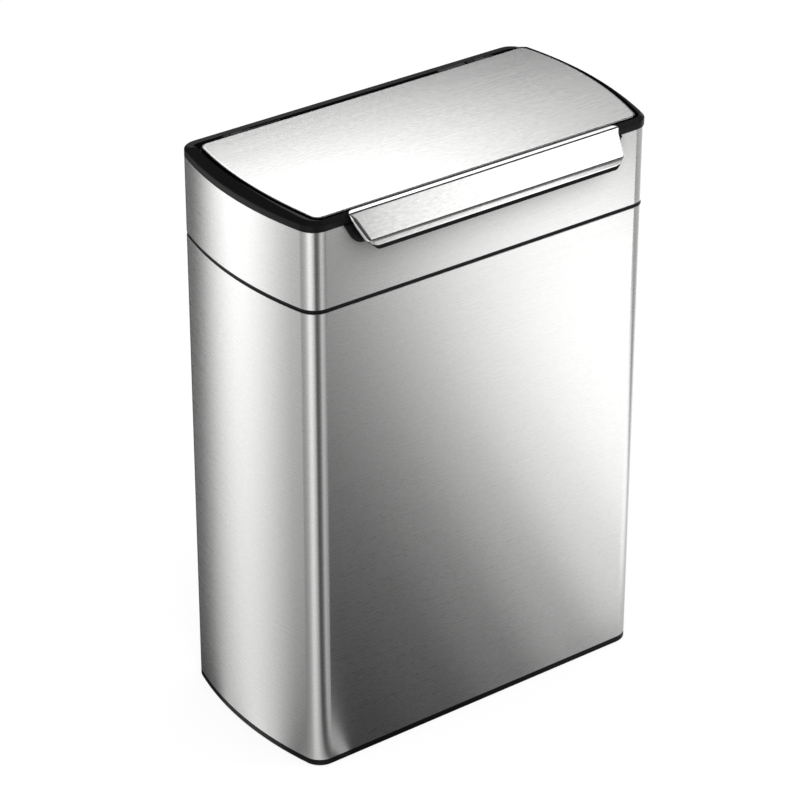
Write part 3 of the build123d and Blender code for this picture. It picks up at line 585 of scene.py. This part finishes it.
# Nodes that don't take their slot's finish; the hinge parts, spring and damper wear steel darkened as
# painted shade of the gap behind the lid
FINISH_BY_NODE = {
    "lid_skin": "lid", "bar_skin": "bar", "hinge_arms": "gap_shade_steel", "hinge_pins": "gap_shade_steel",
    "lid_spring": "gap_shade_steel", "lid_damper": "gap_shade_steel",
}


@dataclass
class Dressing:
    """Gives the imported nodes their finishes."""

    finishes: Finishes

    def build(self) -> None:
        """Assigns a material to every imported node."""
        for row in frame["record"]["subparts"]:
            name = row["node"]
            finish = FINISH_BY_NODE.get(name, FINISH_BY_SLOT[row["material_slot"]])
            node = frame["nodes"][name]
            node.data.materials.clear()
            node.data.materials.append(getattr(self.finishes, finish))
            LOG.info("%s wears %s", name, finish)


@dataclass
class BarSkin:
    """The touch bar's folded steel face: flange, face, lip and rolled ends.

    Lengths are in millimetres, and points from the cabinet's middle.

    Args:
        section: The flange's tip, the two folds and the lip's foot, as y, z and fold radius.
        hem_radius: The radius of the hem rolled under the lip.
        half_high: Half the width at the upper fold.
        half_nose: Half the width at the lower fold.
        half_low: Half the width at the lip's foot.
        corner_high: The radius of the flange's corners.
        corner_low: The radius of the lip's corners.
        roll: The radius of the rolled ends.
        reach: How deep the ends are turned in.
        tip: How deep they are near the flange's tip, how long that stays, and the slope after it.
        foot: How deep they are at the lip's foot, and the slope before it.
        margin: How far the flat points stay from the rolled ends.
        sheet: The sheet's thickness.
        steps: How many points a fold or the hem has.
        columns: How many points lie across the face.
    """

    section: tuple[Triple, ...] = (
        (-121.6, 695.1, 0.0), (-127.2, 693.8, 5.0), (-151.3, 668.9, 4.8), (-151.7, 661.9, 0.0),
    )
    hem_radius: float = 0.9
    half_high: float = 182.0
    half_nose: float = 173.5
    half_low: float = 172.0
    corner_high: float = 7.5
    corner_low: float = 9.5
    roll: float = 3.2
    reach: float = 5.2
    tip: Triple = (0.9, 8.0, 0.6)
    foot: Pair = (0.5, 0.55)
    margin: float = 2.0
    sheet: float = 0.5
    steps: int = 9
    columns: int = 25

    def path(self) -> list[Pair]:
        """Lays out the folded section with its fold arcs and the hem.

        Returns:
            Pairs of y and z from the flange's tip to the hem's end.
        """
        points = [np.array(item[:2]) for item in self.section]
        line = [points[0] + (points[1] - points[0]) * share for share in (0.0, 0.3, 0.6)]
        for index in (1, 2):
            here, radius = points[index], self.section[index][2]
            before, after = unit(points[index - 1] - here), unit(points[index + 1] - here)
            half = math.acos(float(np.clip(before @ after, -1.0, 1.0))) / 2.0
            reach = radius / math.tan(half)
            centre = here + unit(before + after) * radius / math.sin(half)
            first, last = here + before * reach, here + after * reach
            if index == 2:
                start = line[-1]
                line += [start + (first - start) * share for share in np.linspace(0.06, 0.94, 12)]
            for share in np.linspace(0.0, 1.0, self.steps):
                arm = (first - centre) * (1.0 - share) + (last - centre) * share
                line.append(centre + unit(arm) * radius)
        start = line[-1]
        line += [start + (points[3] - start) * share for share in (0.3, 0.6, 0.85, 1.0)]
        down = unit(points[3] - points[2])
        inward = np.array((-down[1], down[0]))
        middle = points[3] + inward * self.hem_radius
        for turn in np.linspace(0.0, math.pi, self.steps)[1:]:
            line.append(middle - inward * self.hem_radius * math.cos(turn)
                        + down * self.hem_radius * math.sin(turn))
        return [(float(y), float(z)) for y, z in line]

    def half(self, run: float, level: float, length: float) -> float:
        """The face's half width at one place of the section.

        Args:
            run: The distance from the flange's tip.
            level: The place's height.
            length: The distance from the tip to the hem.

        Returns:
            The half width.
        """
        levels = (self.section[3][1], self.section[2][1], self.section[1][1])
        half = float(np.interp(level, levels, (self.half_low, self.half_nose, self.half_high)))
        for radius, left in ((self.corner_high, run), (self.corner_low, length - run)):
            if left < radius:
                half -= radius - math.sqrt(radius ** 2 - (radius - max(left, 0.0)) ** 2)
        return half

    def row(self, half: float, run: float, length: float) -> list[Pair]:
        """Lays one row of points across the face, with its two rolled ends.

        Args:
            half: The row's half width.
            run: The distance from the flange's tip.
            length: The distance from the tip to the hem.

        Returns:
            Pairs of x and depth behind the face, from left to right.
        """
        (shallow, stay, slope), (least, rise) = self.tip, self.foot
        depth = min(self.reach, shallow + slope * max(run - stay, 0.0),
                    max(least, (length - run) * rise + least))
        roll = min(self.roll, depth)
        rim = [(0.0, depth), (0.0, (depth + roll) / 2.0)]
        rim += [(roll * (1.0 - math.cos(turn)), roll * (1.0 - math.sin(turn)))
                for turn in np.linspace(0.0, math.pi / 2.0, 7)]
        flat = half - roll - self.margin
        row = [(-half + inset, behind) for inset, behind in rim]
        row += [(share * flat, 0.0) for share in np.linspace(-1.0, 1.0, self.columns)]
        return row + [(half - inset, behind) for inset, behind in reversed(rim)]

    def build(self, finish: Material) -> Object:
        """Makes the folded sheet.

        Args:
            finish: Its material.

        Returns:
            The finished piece.
        """
        path = self.path()
        runs = np.concatenate(([0.0], np.cumsum(np.hypot(*np.diff(np.array(path), axis=0).T))))
        length = float(runs[-self.steps])
        points = []
        for index, (y, z) in enumerate(path):
            ahead, behind = path[min(index + 1, len(path) - 1)], path[max(index - 1, 0)]
            step = np.array(ahead) - np.array(behind)
            inward = np.array((-step[1], step[0])) / np.linalg.norm(step)
            run = float(runs[index])
            row = self.row(self.half(run, z, length), run, length)
            points += [place(x, y + inward[0] * n, z + inward[1] * n) for x, n in row]
        columns = len(points) // len(path)
        piece = new_piece("touch_bar.face", points, grid_faces(len(path), columns), finish)
        self.face_outward(piece)
        shade_smooth(piece)
        thick = piece.modifiers.new("Sheet", "SOLIDIFY")
        thick.thickness = mm(self.sheet)
        thick.offset = -1.0
        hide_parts("bar_skin")
        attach(piece, "touch_bar")
        return piece

    def face_outward(self, piece: Object) -> None:
        """Turns the sheet over if a face in its middle looks back into the bin."""
        faces = piece.data.polygons
        if faces[len(faces) // 3].normal.y > 0.0:
            piece.data.flip_normals()


def run_tree(name: str, holder: Object, group: NodeTree, values: dict[str, object]) -> Object:
    """Runs a geometry node tree on a holder and keeps the result as a plain mesh.

    Args:
        name: The finished piece's name.
        holder: The object that carries the tree, removed afterwards.
        group: The tree.
        values: The tree's inputs by name.

    Returns:
        The finished piece at the origin.
    """
    nodes = holder.modifiers.new("Tree", "NODES")
    nodes.node_group = group
    for item in group.interface.items_tree:
        if item.in_out == "INPUT" and item.name in values:
            nodes[item.identifier] = values[item.name]
    graph = bpy.context.evaluated_depsgraph_get()
    mesh = bpy.data.meshes.new_from_object(holder.evaluated_get(graph), depsgraph=graph)
    mesh.name = name
    bpy.data.objects.remove(holder)
    return put_in_scene(name, mesh)


@dataclass(frozen=True)
class Screw:
    """The measures of one upright screw.

    Args:
        face: The middle of the head's free face.
        way: 1 where the shank points up from it, -1 where it points down.
        head: The head's radius.
        height: The head's height.
        shank: The shank's radius.
        length: The whole length.
    """

    face: Vector
    way: float
    head: float
    height: float
    shank: float
    length: float


@dataclass
class Screws:
    """Screws with cross recesses in place of one packed set of plain screws.

    Args:
        node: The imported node.
        body: The body that it rides on.
        segments: How many sides a head has.
        arms: How many of these lie from one arm of the cross to the next.
        pit: How deep the recess is in its middle, as a share of the head's height.
        profile: The head's rings from the recess outward, as shares of its radius and height:
            between the arms, then on an arm.
        chamfer: Where the shank's end narrows, and to what share of its radius.
        rim: The shares of the head's radius between which only the shank's points lie.
        usual_shank: The shank's share of the head's radius where none of its points are found.
        least_height: The least height of a head, in metres.
    """

    node: str
    body: str
    segments: int = 12
    arms: int = 3
    pit: float = 0.62
    profile: tuple[tuple[Pair, Pair], ...] = (
        ((0.28, 0.40), (0.28, 0.55)), ((0.60, 0.0), (0.72, 0.55)), ((0.84, 0.04), (0.84, 0.04)),
        ((0.97, 0.28), (0.97, 0.28)), ((1.0, 1.0), (1.0, 1.0)),
    )
    chamfer: Pair = (0.92, 0.55)
    rim: Pair = (0.15, 0.93)
    usual_shank: float = 0.45
    least_height: float = mm(0.6)

    def islands(self) -> list[np.ndarray]:
        """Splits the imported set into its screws.

        Returns:
            The points of each screw.
        """
        mesh = frame["nodes"][self.node].data
        points = np.array([vertex.co[:] for vertex in mesh.vertices])
        _, label = np.unique(np.round(points, 6), axis=0, return_inverse=True)
        label = label.reshape(-1)
        group = np.arange(label.max() + 1)
        pairs = np.array([label[list(edge.vertices)] for edge in mesh.edges])
        changed = True
        while changed:
            low = group[pairs].min(axis=1)
            before = group.copy()
            for side in (0, 1):
                np.minimum.at(group, pairs[:, side], low)
            changed = bool((before != group).any())
        owner = group[label]
        return [points[owner == value] for value in np.unique(owner)]

    def measure(self, points: np.ndarray) -> Screw:
        """Measures one upright screw.

        Args:
            points: The screw's points.

        Returns:
            Its measures.
        """
        low, high = points.min(axis=0), points.max(axis=0)
        middle = (low + high) / 2.0
        head = (high[0] - low[0]) / 2.0
        far = np.hypot(points[:, 0] - middle[0], points[:, 1] - middle[1])
        wide = points[far > head * self.rim[1]][:, 2]
        narrow = far[(far > head * self.rim[0]) & (far < head * self.rim[1])]
        shank = float(np.median(narrow)) if len(narrow) else head * self.usual_shank
        up = abs(wide.min() - low[2]) < abs(high[2] - wide.max())
        height = float(wide.max() - low[2]) if up else float(high[2] - wide.min())
        face = Vector((middle[0], middle[1], low[2] if up else high[2]))
        return Screw(face, 1.0 if up else -1.0, float(head), max(height, self.least_height), shank,
                     float(high[2] - low[2]))

    def master(self, found: list[Screw], finish: Material) -> Object:
        """Makes one screw at the origin with its head's face at zero.

        Args:
            found: The measured screws, of which it takes the middle sizes.
            finish: Its material.

        Returns:
            The screw.
        """
        head, height, shank, length = (
            float(np.median([getattr(item, size) for item in found]))
            for size in ("head", "height", "shank", "length")
        )
        turns = [math.tau * index / self.segments for index in range(self.segments)]
        points = [Vector((0.0, 0.0, height * self.pit))]
        for sides in self.profile:
            for index, turn in enumerate(turns):
                share, depth = sides[1 if index % self.arms == 0 else 0]
                reach = head * share
                points.append(Vector((reach * math.cos(turn), reach * math.sin(turn), height * depth)))
        start, narrowing = self.chamfer
        for level, wide in ((height, shank), (length * start, shank), (length, shank * narrowing)):
            points += [Vector((wide * math.cos(turn), wide * math.sin(turn), level)) for turn in turns]
        faces = [(0, 1 + (index + 1) % self.segments, 1 + index) for index in range(self.segments)]
        rings = len(self.profile) + 3
        for face in grid_faces(rings, self.segments, wrap=True):
            faces.append(tuple(1 + item for item in reversed(face)))
        last = 1 + (rings - 1) * self.segments
        faces.append(tuple(last + index for index in range(self.segments)))
        return new_piece(f"{self.node}.master", points, faces, finish)

    def tree(self) -> NodeTree:
        """Builds the node tree that sets a copy of the master on each point.

        Returns:
            The tree.
        """
        tree, given, end = start_group(
            "GeometryNodeTree", f"{self.node}.cross",
            {"Points": ("Geometry", None), "Master": ("Object", None), "Finish": ("Material", None)},
            {"Copies": "Geometry"},
        )
        source = tree.add("GeometryNodeObjectInfo", Object=given["Master"])
        way = tree.add("GeometryNodeInputNamedAttribute", data_type="FLOAT", Name="way")
        back = tree.math("SUBTRACT", 1.0, way.outputs[0])
        over = tree.of("ShaderNodeCombineXYZ", (tree.math("MULTIPLY", back, math.pi / 2.0),))
        copies = tree.add("GeometryNodeInstanceOnPoints", Points=given["Points"],
                          Instance=source.outputs["Geometry"], Rotation=over)
        tree.dress(end, copies.outputs[0], given["Finish"])
        return tree.tree

    def build(self, finish: Material) -> Object:
        """Sets a screw on each place by a node tree and keeps the plain mesh.

        Args:
            finish: The screws' material.

        Returns:
            The finished set.
        """
        found = [self.measure(points) for points in self.islands()]
        LOG.info("%s: %d screws", self.node, len(found))
        spots = bpy.data.meshes.new(f"{self.node}.spots")
        spots.from_pydata([tuple(item.face) for item in found], [], [])
        way = spots.attributes.new("way", "FLOAT", "POINT")
        for index, item in enumerate(found):
            way.data[index].value = item.way
        master = self.master(found, finish)
        holder = put_in_scene(f"{self.node}.holder", spots)
        piece = run_tree(f"{self.node}.cross", holder, self.tree(),
                         {"Master": master, "Finish": finish})
        bpy.data.objects.remove(master)
        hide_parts(self.node)
        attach(piece, self.body)
        return piece


@dataclass
class LidSpring:
    """The coiled spring round the left hinge pin, with its two legs.

    Lengths are in millimetres, and points from the cabinet's middle.

    Args:
        start: The coil's left end along X.
        end: Its right end.
        axis: The pin's y and z.
        radius: The coil's radius at the middle of the wire.
        wire: The wire's radius.
        turns: How often the wire goes round.
        leg_level: The height of the legs' feet.
        foot: How long the feet are.
    """

    start: float = -149.0
    end: float = -109.0
    axis: Pair = (105.0, 690.5)
    radius: float = 3.55
    wire: float = 0.7
    turns: float = 21.0
    leg_level: float = 685.8
    foot: float = 6.0

    def tree(self) -> NodeTree:
        """Builds the coil: a spiral laid along X and swept with a round wire.

        Returns:
            The tree.
        """
        tree, given, end = start_group(
            "GeometryNodeTree", "Coil",
            {"Path": ("Geometry", None), "Middle": ("Vector", None), "Finish": ("Material", None),
             **{label: ("Float", None) for label in ("Turns", "Radius", "Length", "Wire")}},
            {"Spring": "Geometry"},
        )
        coil = tree.add("GeometryNodeCurveSpiral", Resolution=20, Rotations=given["Turns"],
                        Start_Radius=given["Radius"], End_Radius=given["Radius"],
                        Height=given["Length"])
        laid = tree.add("GeometryNodeTransform", Geometry=coil.outputs[0],
                        Translation=given["Middle"], Rotation=(0.0, math.pi / 2.0, 0.0))
        both = tree.add("GeometryNodeJoinGeometry")
        tree.put(both, 0, laid.outputs[0])
        tree.put(both, 0, given["Path"])
        ring = tree.add("GeometryNodeCurvePrimitiveCircle", Resolution=8, Radius=given["Wire"])
        swept = tree.add("GeometryNodeCurveToMesh", Curve=both.outputs[0],
                         Profile_Curve=ring.outputs[0], Fill_Caps=True)
        tree.dress(end, swept.outputs[0], given["Finish"])
        return tree.tree

    def legs(self) -> Object:
        """Lays the legs' middle lines from the coil's ends down to the ledge.

        Returns:
            A curve object with both lines.
        """
        curve = bpy.data.curves.new("Legs", "CURVE")
        curve.dimensions = "3D"
        y, z = self.axis
        back = y - self.radius
        for x in (self.start, self.end):
            line = curve.splines.new("POLY")
            line.points.add(2)
            spots = (place(x, back, z), place(x, back, self.leg_level),
                     place(x, back - self.foot, self.leg_level))
            for point, spot in zip(line.points, spots):
                point.co = (*spot, 1.0)
        return put_in_scene("Legs", curve)

    def build(self, finish: Material) -> Object:
        """Makes the spring.

        Args:
            finish: Its material.

        Returns:
            The finished piece.
        """
        values = {
            "Turns": self.turns, "Radius": mm(self.radius), "Length": mm(self.end - self.start),
            "Wire": mm(self.wire), "Middle": tuple(place(self.start, *self.axis)), "Finish": finish,
        }
        piece = run_tree("hinge.coil", self.legs(), self.tree(), values)
        shade_smooth(piece)
        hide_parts("lid_spring")
        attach(piece, "cabinet")
        return piece


def add_plane(name: str, size: float, centre: Triple) -> tuple[Object, Tree]:
    """Adds a level plane of the studio, with a material that has no shader yet.

    Args:
        name: Its name.
        size: The length of its sides.
        centre: Its middle.

    Returns:
        The plane and its material's tree.
    """
    bpy.ops.mesh.primitive_plane_add(size=size, location=centre)
    plane = bpy.context.object
    plane.name = name
    material, tree, skin = start_material(name)
    tree.tree.nodes.remove(skin)
    plane.data.materials.append(material)
    return plane, tree


@dataclass(frozen=True)
class SoftBox:
    """A level soft box that only shows in glossy surfaces.

    Args:
        name: The object's name.
        centre: Its middle.
        along_x: Levels along X, by share of the size.
        along_y: Levels along Y, by share of the size.
        strength: What the product of both levels is multiplied by.
        size: The length of its sides.
    """

    name: str
    centre: Triple
    along_x: Ramp
    along_y: Ramp
    strength: float
    size: float = 1.6

    def build(self) -> None:
        """Hangs the box."""
        plane, tree = add_plane(self.name, self.size, self.centre)
        plane.visible_camera = False
        plane.visible_diffuse = False
        plane.visible_shadow = False
        spot = tree.split(tree.where())
        levels = []
        for index, points in enumerate((self.along_x, self.along_y)):
            share = tree.math("ADD", tree.math("DIVIDE", spot[index], self.size), 0.5)
            levels.append(tree.curve(share, points))
        strength = tree.math("MULTIPLY", tree.math("MULTIPLY", *levels), self.strength)
        glow = tree.add("ShaderNodeEmission", Strength=strength)
        tree.put(tree.tree.nodes["Material Output"], "Surface", glow.outputs[0])


@dataclass(frozen=True)
class SoftLamp:
    """A large round lamp that points at the bin and isn't mirrored.

    Args:
        name: The object's name.
        centre: Where it hangs.
        size: Its width.
        power: Its power in watts.
        aim: The point it lights.
    """

    name: str
    centre: Triple
    size: float
    power: float
    aim: Triple = (0.0, 0.0, 0.35)

    def build(self) -> None:
        """Hangs the lamp."""
        lamp = bpy.data.lights.new(self.name, "AREA")
        lamp.shape = "DISK"
        lamp.size = self.size
        lamp.energy = self.power
        holder = put_in_scene(self.name, lamp)
        holder.location = self.centre
        sight = Vector(self.aim) - Vector(self.centre)
        holder.rotation_euler = sight.to_track_quat("-Z", "Y").to_euler()
        holder.visible_glossy = False


@dataclass(frozen=True)
class Room:
    """What the steel mirrors: a ring of tones round the bin and a ramp on the floor in front.

    Args:
        corner: The ring's middle, the bin's front left corner.
        ring: Level by direction, in turns from +X.
        front: Level of the floor in front, by its slanted place from left to right.
        sector_start: The turns between which the front sector starts.
        sector_end: The turns between which it ends.
        side_level: The ring's share outside the sector.
        rises: How steep a direction is when it sees the ceiling, outside and in the sector.
        ceiling: Two steepnesses and the ceiling's levels there.
        lit: The even level that lights the bin.
        floor_size: The length of the floor's sides.
        floor_far: The growth of the ring's levels along the floor, and their start.
        lean: How far the ramp slants, and the line that it slants from.
        slants: The slanted places where the ramp starts and ends.
        gain: Two places along Y, and what multiplies the ramp there.
        lift: Two places along Y, and what is added there.
        fade: Two places along Y between which the ramp fades, and how far.
        bounce: How bright the floor lights the bin.
        paper: How bright the light on it shows to the camera, which sees the shadow by it.
        paper_glow: What is added to that, to make it white.
    """

    corner: Pair = (-0.19, -0.092)
    ring: Ramp = (
        (0.0, 0.80), (0.04, 1.20), (0.12, 0.90), (0.20, 0.12), (0.285, 0.09), (0.297, 0.16),
        (0.312, 0.85), (0.351, 1.40), (0.380, 1.10), (0.410, 0.66), (0.428, 0.44), (0.451, 0.34),
        (0.490, 0.44), (0.530, 0.62), (0.562, 1.00), (0.590, 1.12), (0.615, 0.88), (0.645, 0.56),
        (0.668, 0.13), (0.695, 0.10), (0.722, 0.22), (0.757, 0.66), (0.790, 0.60), (0.830, 0.30),
        (0.90, 0.8), (0.93, 0.15), (0.97, 0.12), (1.0, 0.80),
    )
    front: Ramp = (
        (0.0, 0.04), (0.067, 0.05), (0.147, 0.055), (0.227, 0.10), (0.30, 0.21), (0.373, 0.46),
        (0.453, 0.92), (0.533, 1.32), (0.65, 1.60), (0.75, 1.70), (0.80, 0.25), (0.88, 0.12),
        (1.0, 0.50),
    )
    sector_start: Pair = (0.79, 0.835)
    sector_end: Pair = (0.97, 1.0)
    side_level: float = 0.66
    rises: Pair = (0.35, 0.20)
    ceiling: Span = (0.90, 1.0, 0.06, 0.45)
    lit: float = 0.62
    floor_size: float = 14.0
    floor_far: Pair = (0.36, 0.74)
    lean: Pair = (0.379, 0.11)
    slants: Pair = (-0.35, 1.0)
    gain: Span = (-0.12, -0.9, 1.0, 1.35)
    lift: Span = (-0.5, -1.1, 0.0, 0.20)
    fade: Span = (-1.25, -1.9, 1.0, 0.05)
    bounce: float = 0.8
    paper: float = 0.30
    paper_glow: float = 0.80

    def build(self) -> None:
        """Makes the backdrop and the floor."""
        self.world()
        self.floor()

    def seen(self, tree: Tree) -> tuple[NodeSocket, NodeSocket]:
        """The masks of the camera's rays and of mirrored ones."""
        path = tree.add("ShaderNodeLightPath").outputs
        glossy = tree.math("MAXIMUM", path["Is Glossy Ray"], path["Is Transmission Ray"])
        return path["Is Camera Ray"], glossy

    def around(self, tree: Tree, x: object, y: object) -> NodeSocket:
        """Turns a level direction into a share of a turn from +X, from 0 to 1."""
        angle = tree.math("ARCTAN2", y, x)
        return tree.math("FRACT", tree.math("ADD", tree.math("DIVIDE", angle, math.tau), 1.0))

    def sector(self, tree: Tree, turn: object) -> NodeSocket:
        """1 in the directions that the front panel mirrors, by share of a turn, 0 elsewhere."""
        return tree.math("MULTIPLY", tree.span(turn, *self.sector_start, smooth=True),
                         tree.span(turn, *self.sector_end, 1.0, 0.0, smooth=True))

    def world(self) -> None:
        """Sets a white backdrop that lights the bin evenly and reflects as a studio does."""
        world = bpy.data.worlds.new("Studio")
        bpy.context.scene.world = world
        world.use_nodes = True
        tree = Tree(world.node_tree)
        back = world.node_tree.nodes["Background"]
        camera, glossy = self.seen(tree)
        x, y, z = tree.split(tree.add("ShaderNodeTexCoord").outputs["Generated"])
        turn = self.around(tree, x, y)
        level = tree.curve(turn, self.ring)
        sector = self.sector(tree, turn)
        level = tree.math("MULTIPLY", level, tree.blend(sector, self.side_level, 1.0))
        high = tree.span(z, 0.0, tree.blend(sector, *self.rises), smooth=True)
        sheen = tree.blend(high, level, tree.span(z, *self.ceiling, smooth=True))
        back.inputs["Color"].default_value = WHITE
        tree.put(back, "Strength", tree.blend(camera, tree.blend(glossy, self.lit, sheen), 1.0))

    def mirrored(self, tree: Tree) -> NodeSocket:
        """Builds the floor's level in reflections.

        Args:
            tree: The tree to build in.

        Returns:
            The level.
        """
        floor_x, floor_y, _ = tree.split(tree.where())
        x = tree.math("SUBTRACT", floor_x, self.corner[0])
        y = tree.math("SUBTRACT", floor_y, self.corner[1])
        turn = self.around(tree, x, y)
        square = tree.math("ADD", tree.math("MULTIPLY", x, x), tree.math("MULTIPLY", y, y))
        growth = tree.math("MULTIPLY_ADD", tree.math("SQRT", square), *self.floor_far)
        level = tree.math("MULTIPLY", tree.curve(turn, self.ring), growth)
        slope, line = self.lean
        slant = tree.math("MULTIPLY_ADD", tree.math("ADD", floor_y, line), slope, floor_x)
        ramp = tree.curve(tree.span(slant, *self.slants), self.front)
        ramp = tree.math("MULTIPLY", ramp, tree.span(floor_y, *self.gain))
        ramp = tree.math("ADD", ramp, tree.span(floor_y, *self.lift))
        ramp = tree.math("MULTIPLY", ramp, tree.span(floor_y, *self.fade, smooth=True))
        return tree.blend(self.sector(tree, turn), level, ramp)

    def floor(self) -> None:
        """Makes the pale floor: white to the camera with a soft shadow, toned in reflections."""
        plane, tree = add_plane("floor", self.floor_size, (0.0, 0.0, 0.0))
        camera, glossy = self.seen(tree)
        glow = tree.add("ShaderNodeEmission", Strength=self.mirrored(tree)).outputs[0]
        base = tree.add("ShaderNodeEmission", Strength=self.paper_glow).outputs[0]
        pale, paper = (
            tree.add("ShaderNodeBsdfDiffuse", Color=(level, level, level, 1.0)).outputs[0]
            for level in (self.bounce, self.paper)
        )
        other = tree.of("ShaderNodeMixShader", (glossy, pale, glow))
        shown = tree.of("ShaderNodeAddShader", (paper, base))
        tree.put(tree.tree.nodes["Material Output"], "Surface",
                 tree.of("ShaderNodeMixShader", (camera, other, shown)))


@dataclass(frozen=True)
class Studio:
    """Room, soft lights and the camera at the photograph's angle.

    Args:
        room: The backdrop and the floor.
        boxes: The box that the lid mirrors and the one that the touch bar mirrors.
        lamps: The lamps.
        azimuth: The camera's direction round the bin, from the front.
        elevation: How steeply it looks down.
        roll: Its turn about its line of sight.
        distance: How far from the aim it stands.
        lens: Its focal length in millimetres.
        aim: The point it looks at before it is moved.
        shift_left: How far it is moved to its left.
        shift_down: How far it is moved down.
    """

    room: Room = Room()
    boxes: tuple[SoftBox, ...] = (
        SoftBox("overhead", (0.45, 0.62, 1.25),
                ((0.0, 0.5), (0.2, 0.95), (0.425, 1.0), (0.50, 0.94), (0.575, 0.77), (0.66, 0.54),
                 (0.74, 0.36), (0.95, 0.2), (1.0, 0.15)),
                ((0.0, 0.0), (0.13, 0.0), (0.18, 0.95), (0.25, 0.95), (0.31, 0.45), (0.37, 0.50),
                 (0.42, 1.0), (0.50, 1.0), (0.56, 0.93), (0.68, 0.42), (0.875, 0.12), (1.0, 0.05)),
                2.5),
        SoftBox("softbox", (1.3, -0.93, 1.7),
                ((0.0, 0.10), (0.06, 0.37), (0.10, 0.43), (0.19, 0.52), (0.28, 0.64), (0.40, 0.8),
                 (1.0, 1.0)),
                ((0.0, 0.0), (0.30, 0.0), (0.40, 1.0), (0.64, 1.0), (0.70, 0.0), (1.0, 0.0)),
                3.0),
    )
    lamps: tuple[SoftLamp, ...] = (
        SoftLamp("key", (-1.4, -1.8, 2.6), 1.8, 26.0),
        SoftLamp("fill", (1.9, -1.2, 2.0), 1.6, 14.0),
    )
    azimuth: float = math.radians(-36.34)
    elevation: float = math.radians(29.807)
    roll: float = 0.0017390
    distance: float = 3.875031
    lens: float = 151.7974
    aim: Triple = (0.0, 0.0132, 0.350)
    shift_left: float = 0.0175762
    shift_down: float = 0.0000628

    def build(self) -> None:
        """Makes the room, the lights and the camera."""
        self.room.build()
        for light in (*self.boxes, *self.lamps):
            light.build()
        self.camera()

    def camera(self) -> None:
        """Stands the camera where the photograph was taken from."""
        turn, lift = self.azimuth, self.elevation
        back = Vector((math.sin(turn) * math.cos(lift), -math.cos(turn) * math.cos(lift),
                       math.sin(lift)))
        right = Vector((math.cos(turn), math.sin(turn), 0.0))
        up = back.cross(right)
        side = right * math.cos(self.roll) + up * math.sin(self.roll)
        top = up * math.cos(self.roll) - right * math.sin(self.roll)
        lens = bpy.data.cameras.new("view")
        lens.lens = self.lens
        lens.clip_end = 40.0
        holder = put_in_scene("view", lens)
        holder.rotation_mode = "QUATERNION"
        holder.rotation_quaternion = Matrix(np.array([side, top, back]).T.tolist()).to_quaternion()
        holder.location = (Vector(self.aim) + back * self.distance - side * self.shift_left
                           - top * self.shift_down)
        bpy.context.scene.camera = holder


def main() -> None:
    """Builds the looks in order."""
    logging.basicConfig(level=logging.INFO)
    bpy.context.scene.view_settings.view_transform = "Standard"
    finishes = Finishes()
    Dressing(finishes).build()
    pieces = (
        BarSkin().build(finishes.bar),
        Screws("base_screws", "cabinet").build(finishes.plain),
        Screws("frame_screws", "cabinet").build(finishes.plain),
        Screws("lid_screws", "lid").build(finishes.plain),
        # the coil wears the steel darkened as painted shade of the gap behind the lid
        LidSpring().build(finishes.gap_shade_steel),
    )
    for piece in pieces:
        LOG.info("%s has %d faces", piece.name, len(piece.data.polygons))
    Studio().build()


if __name__ == "__main__":
    main()
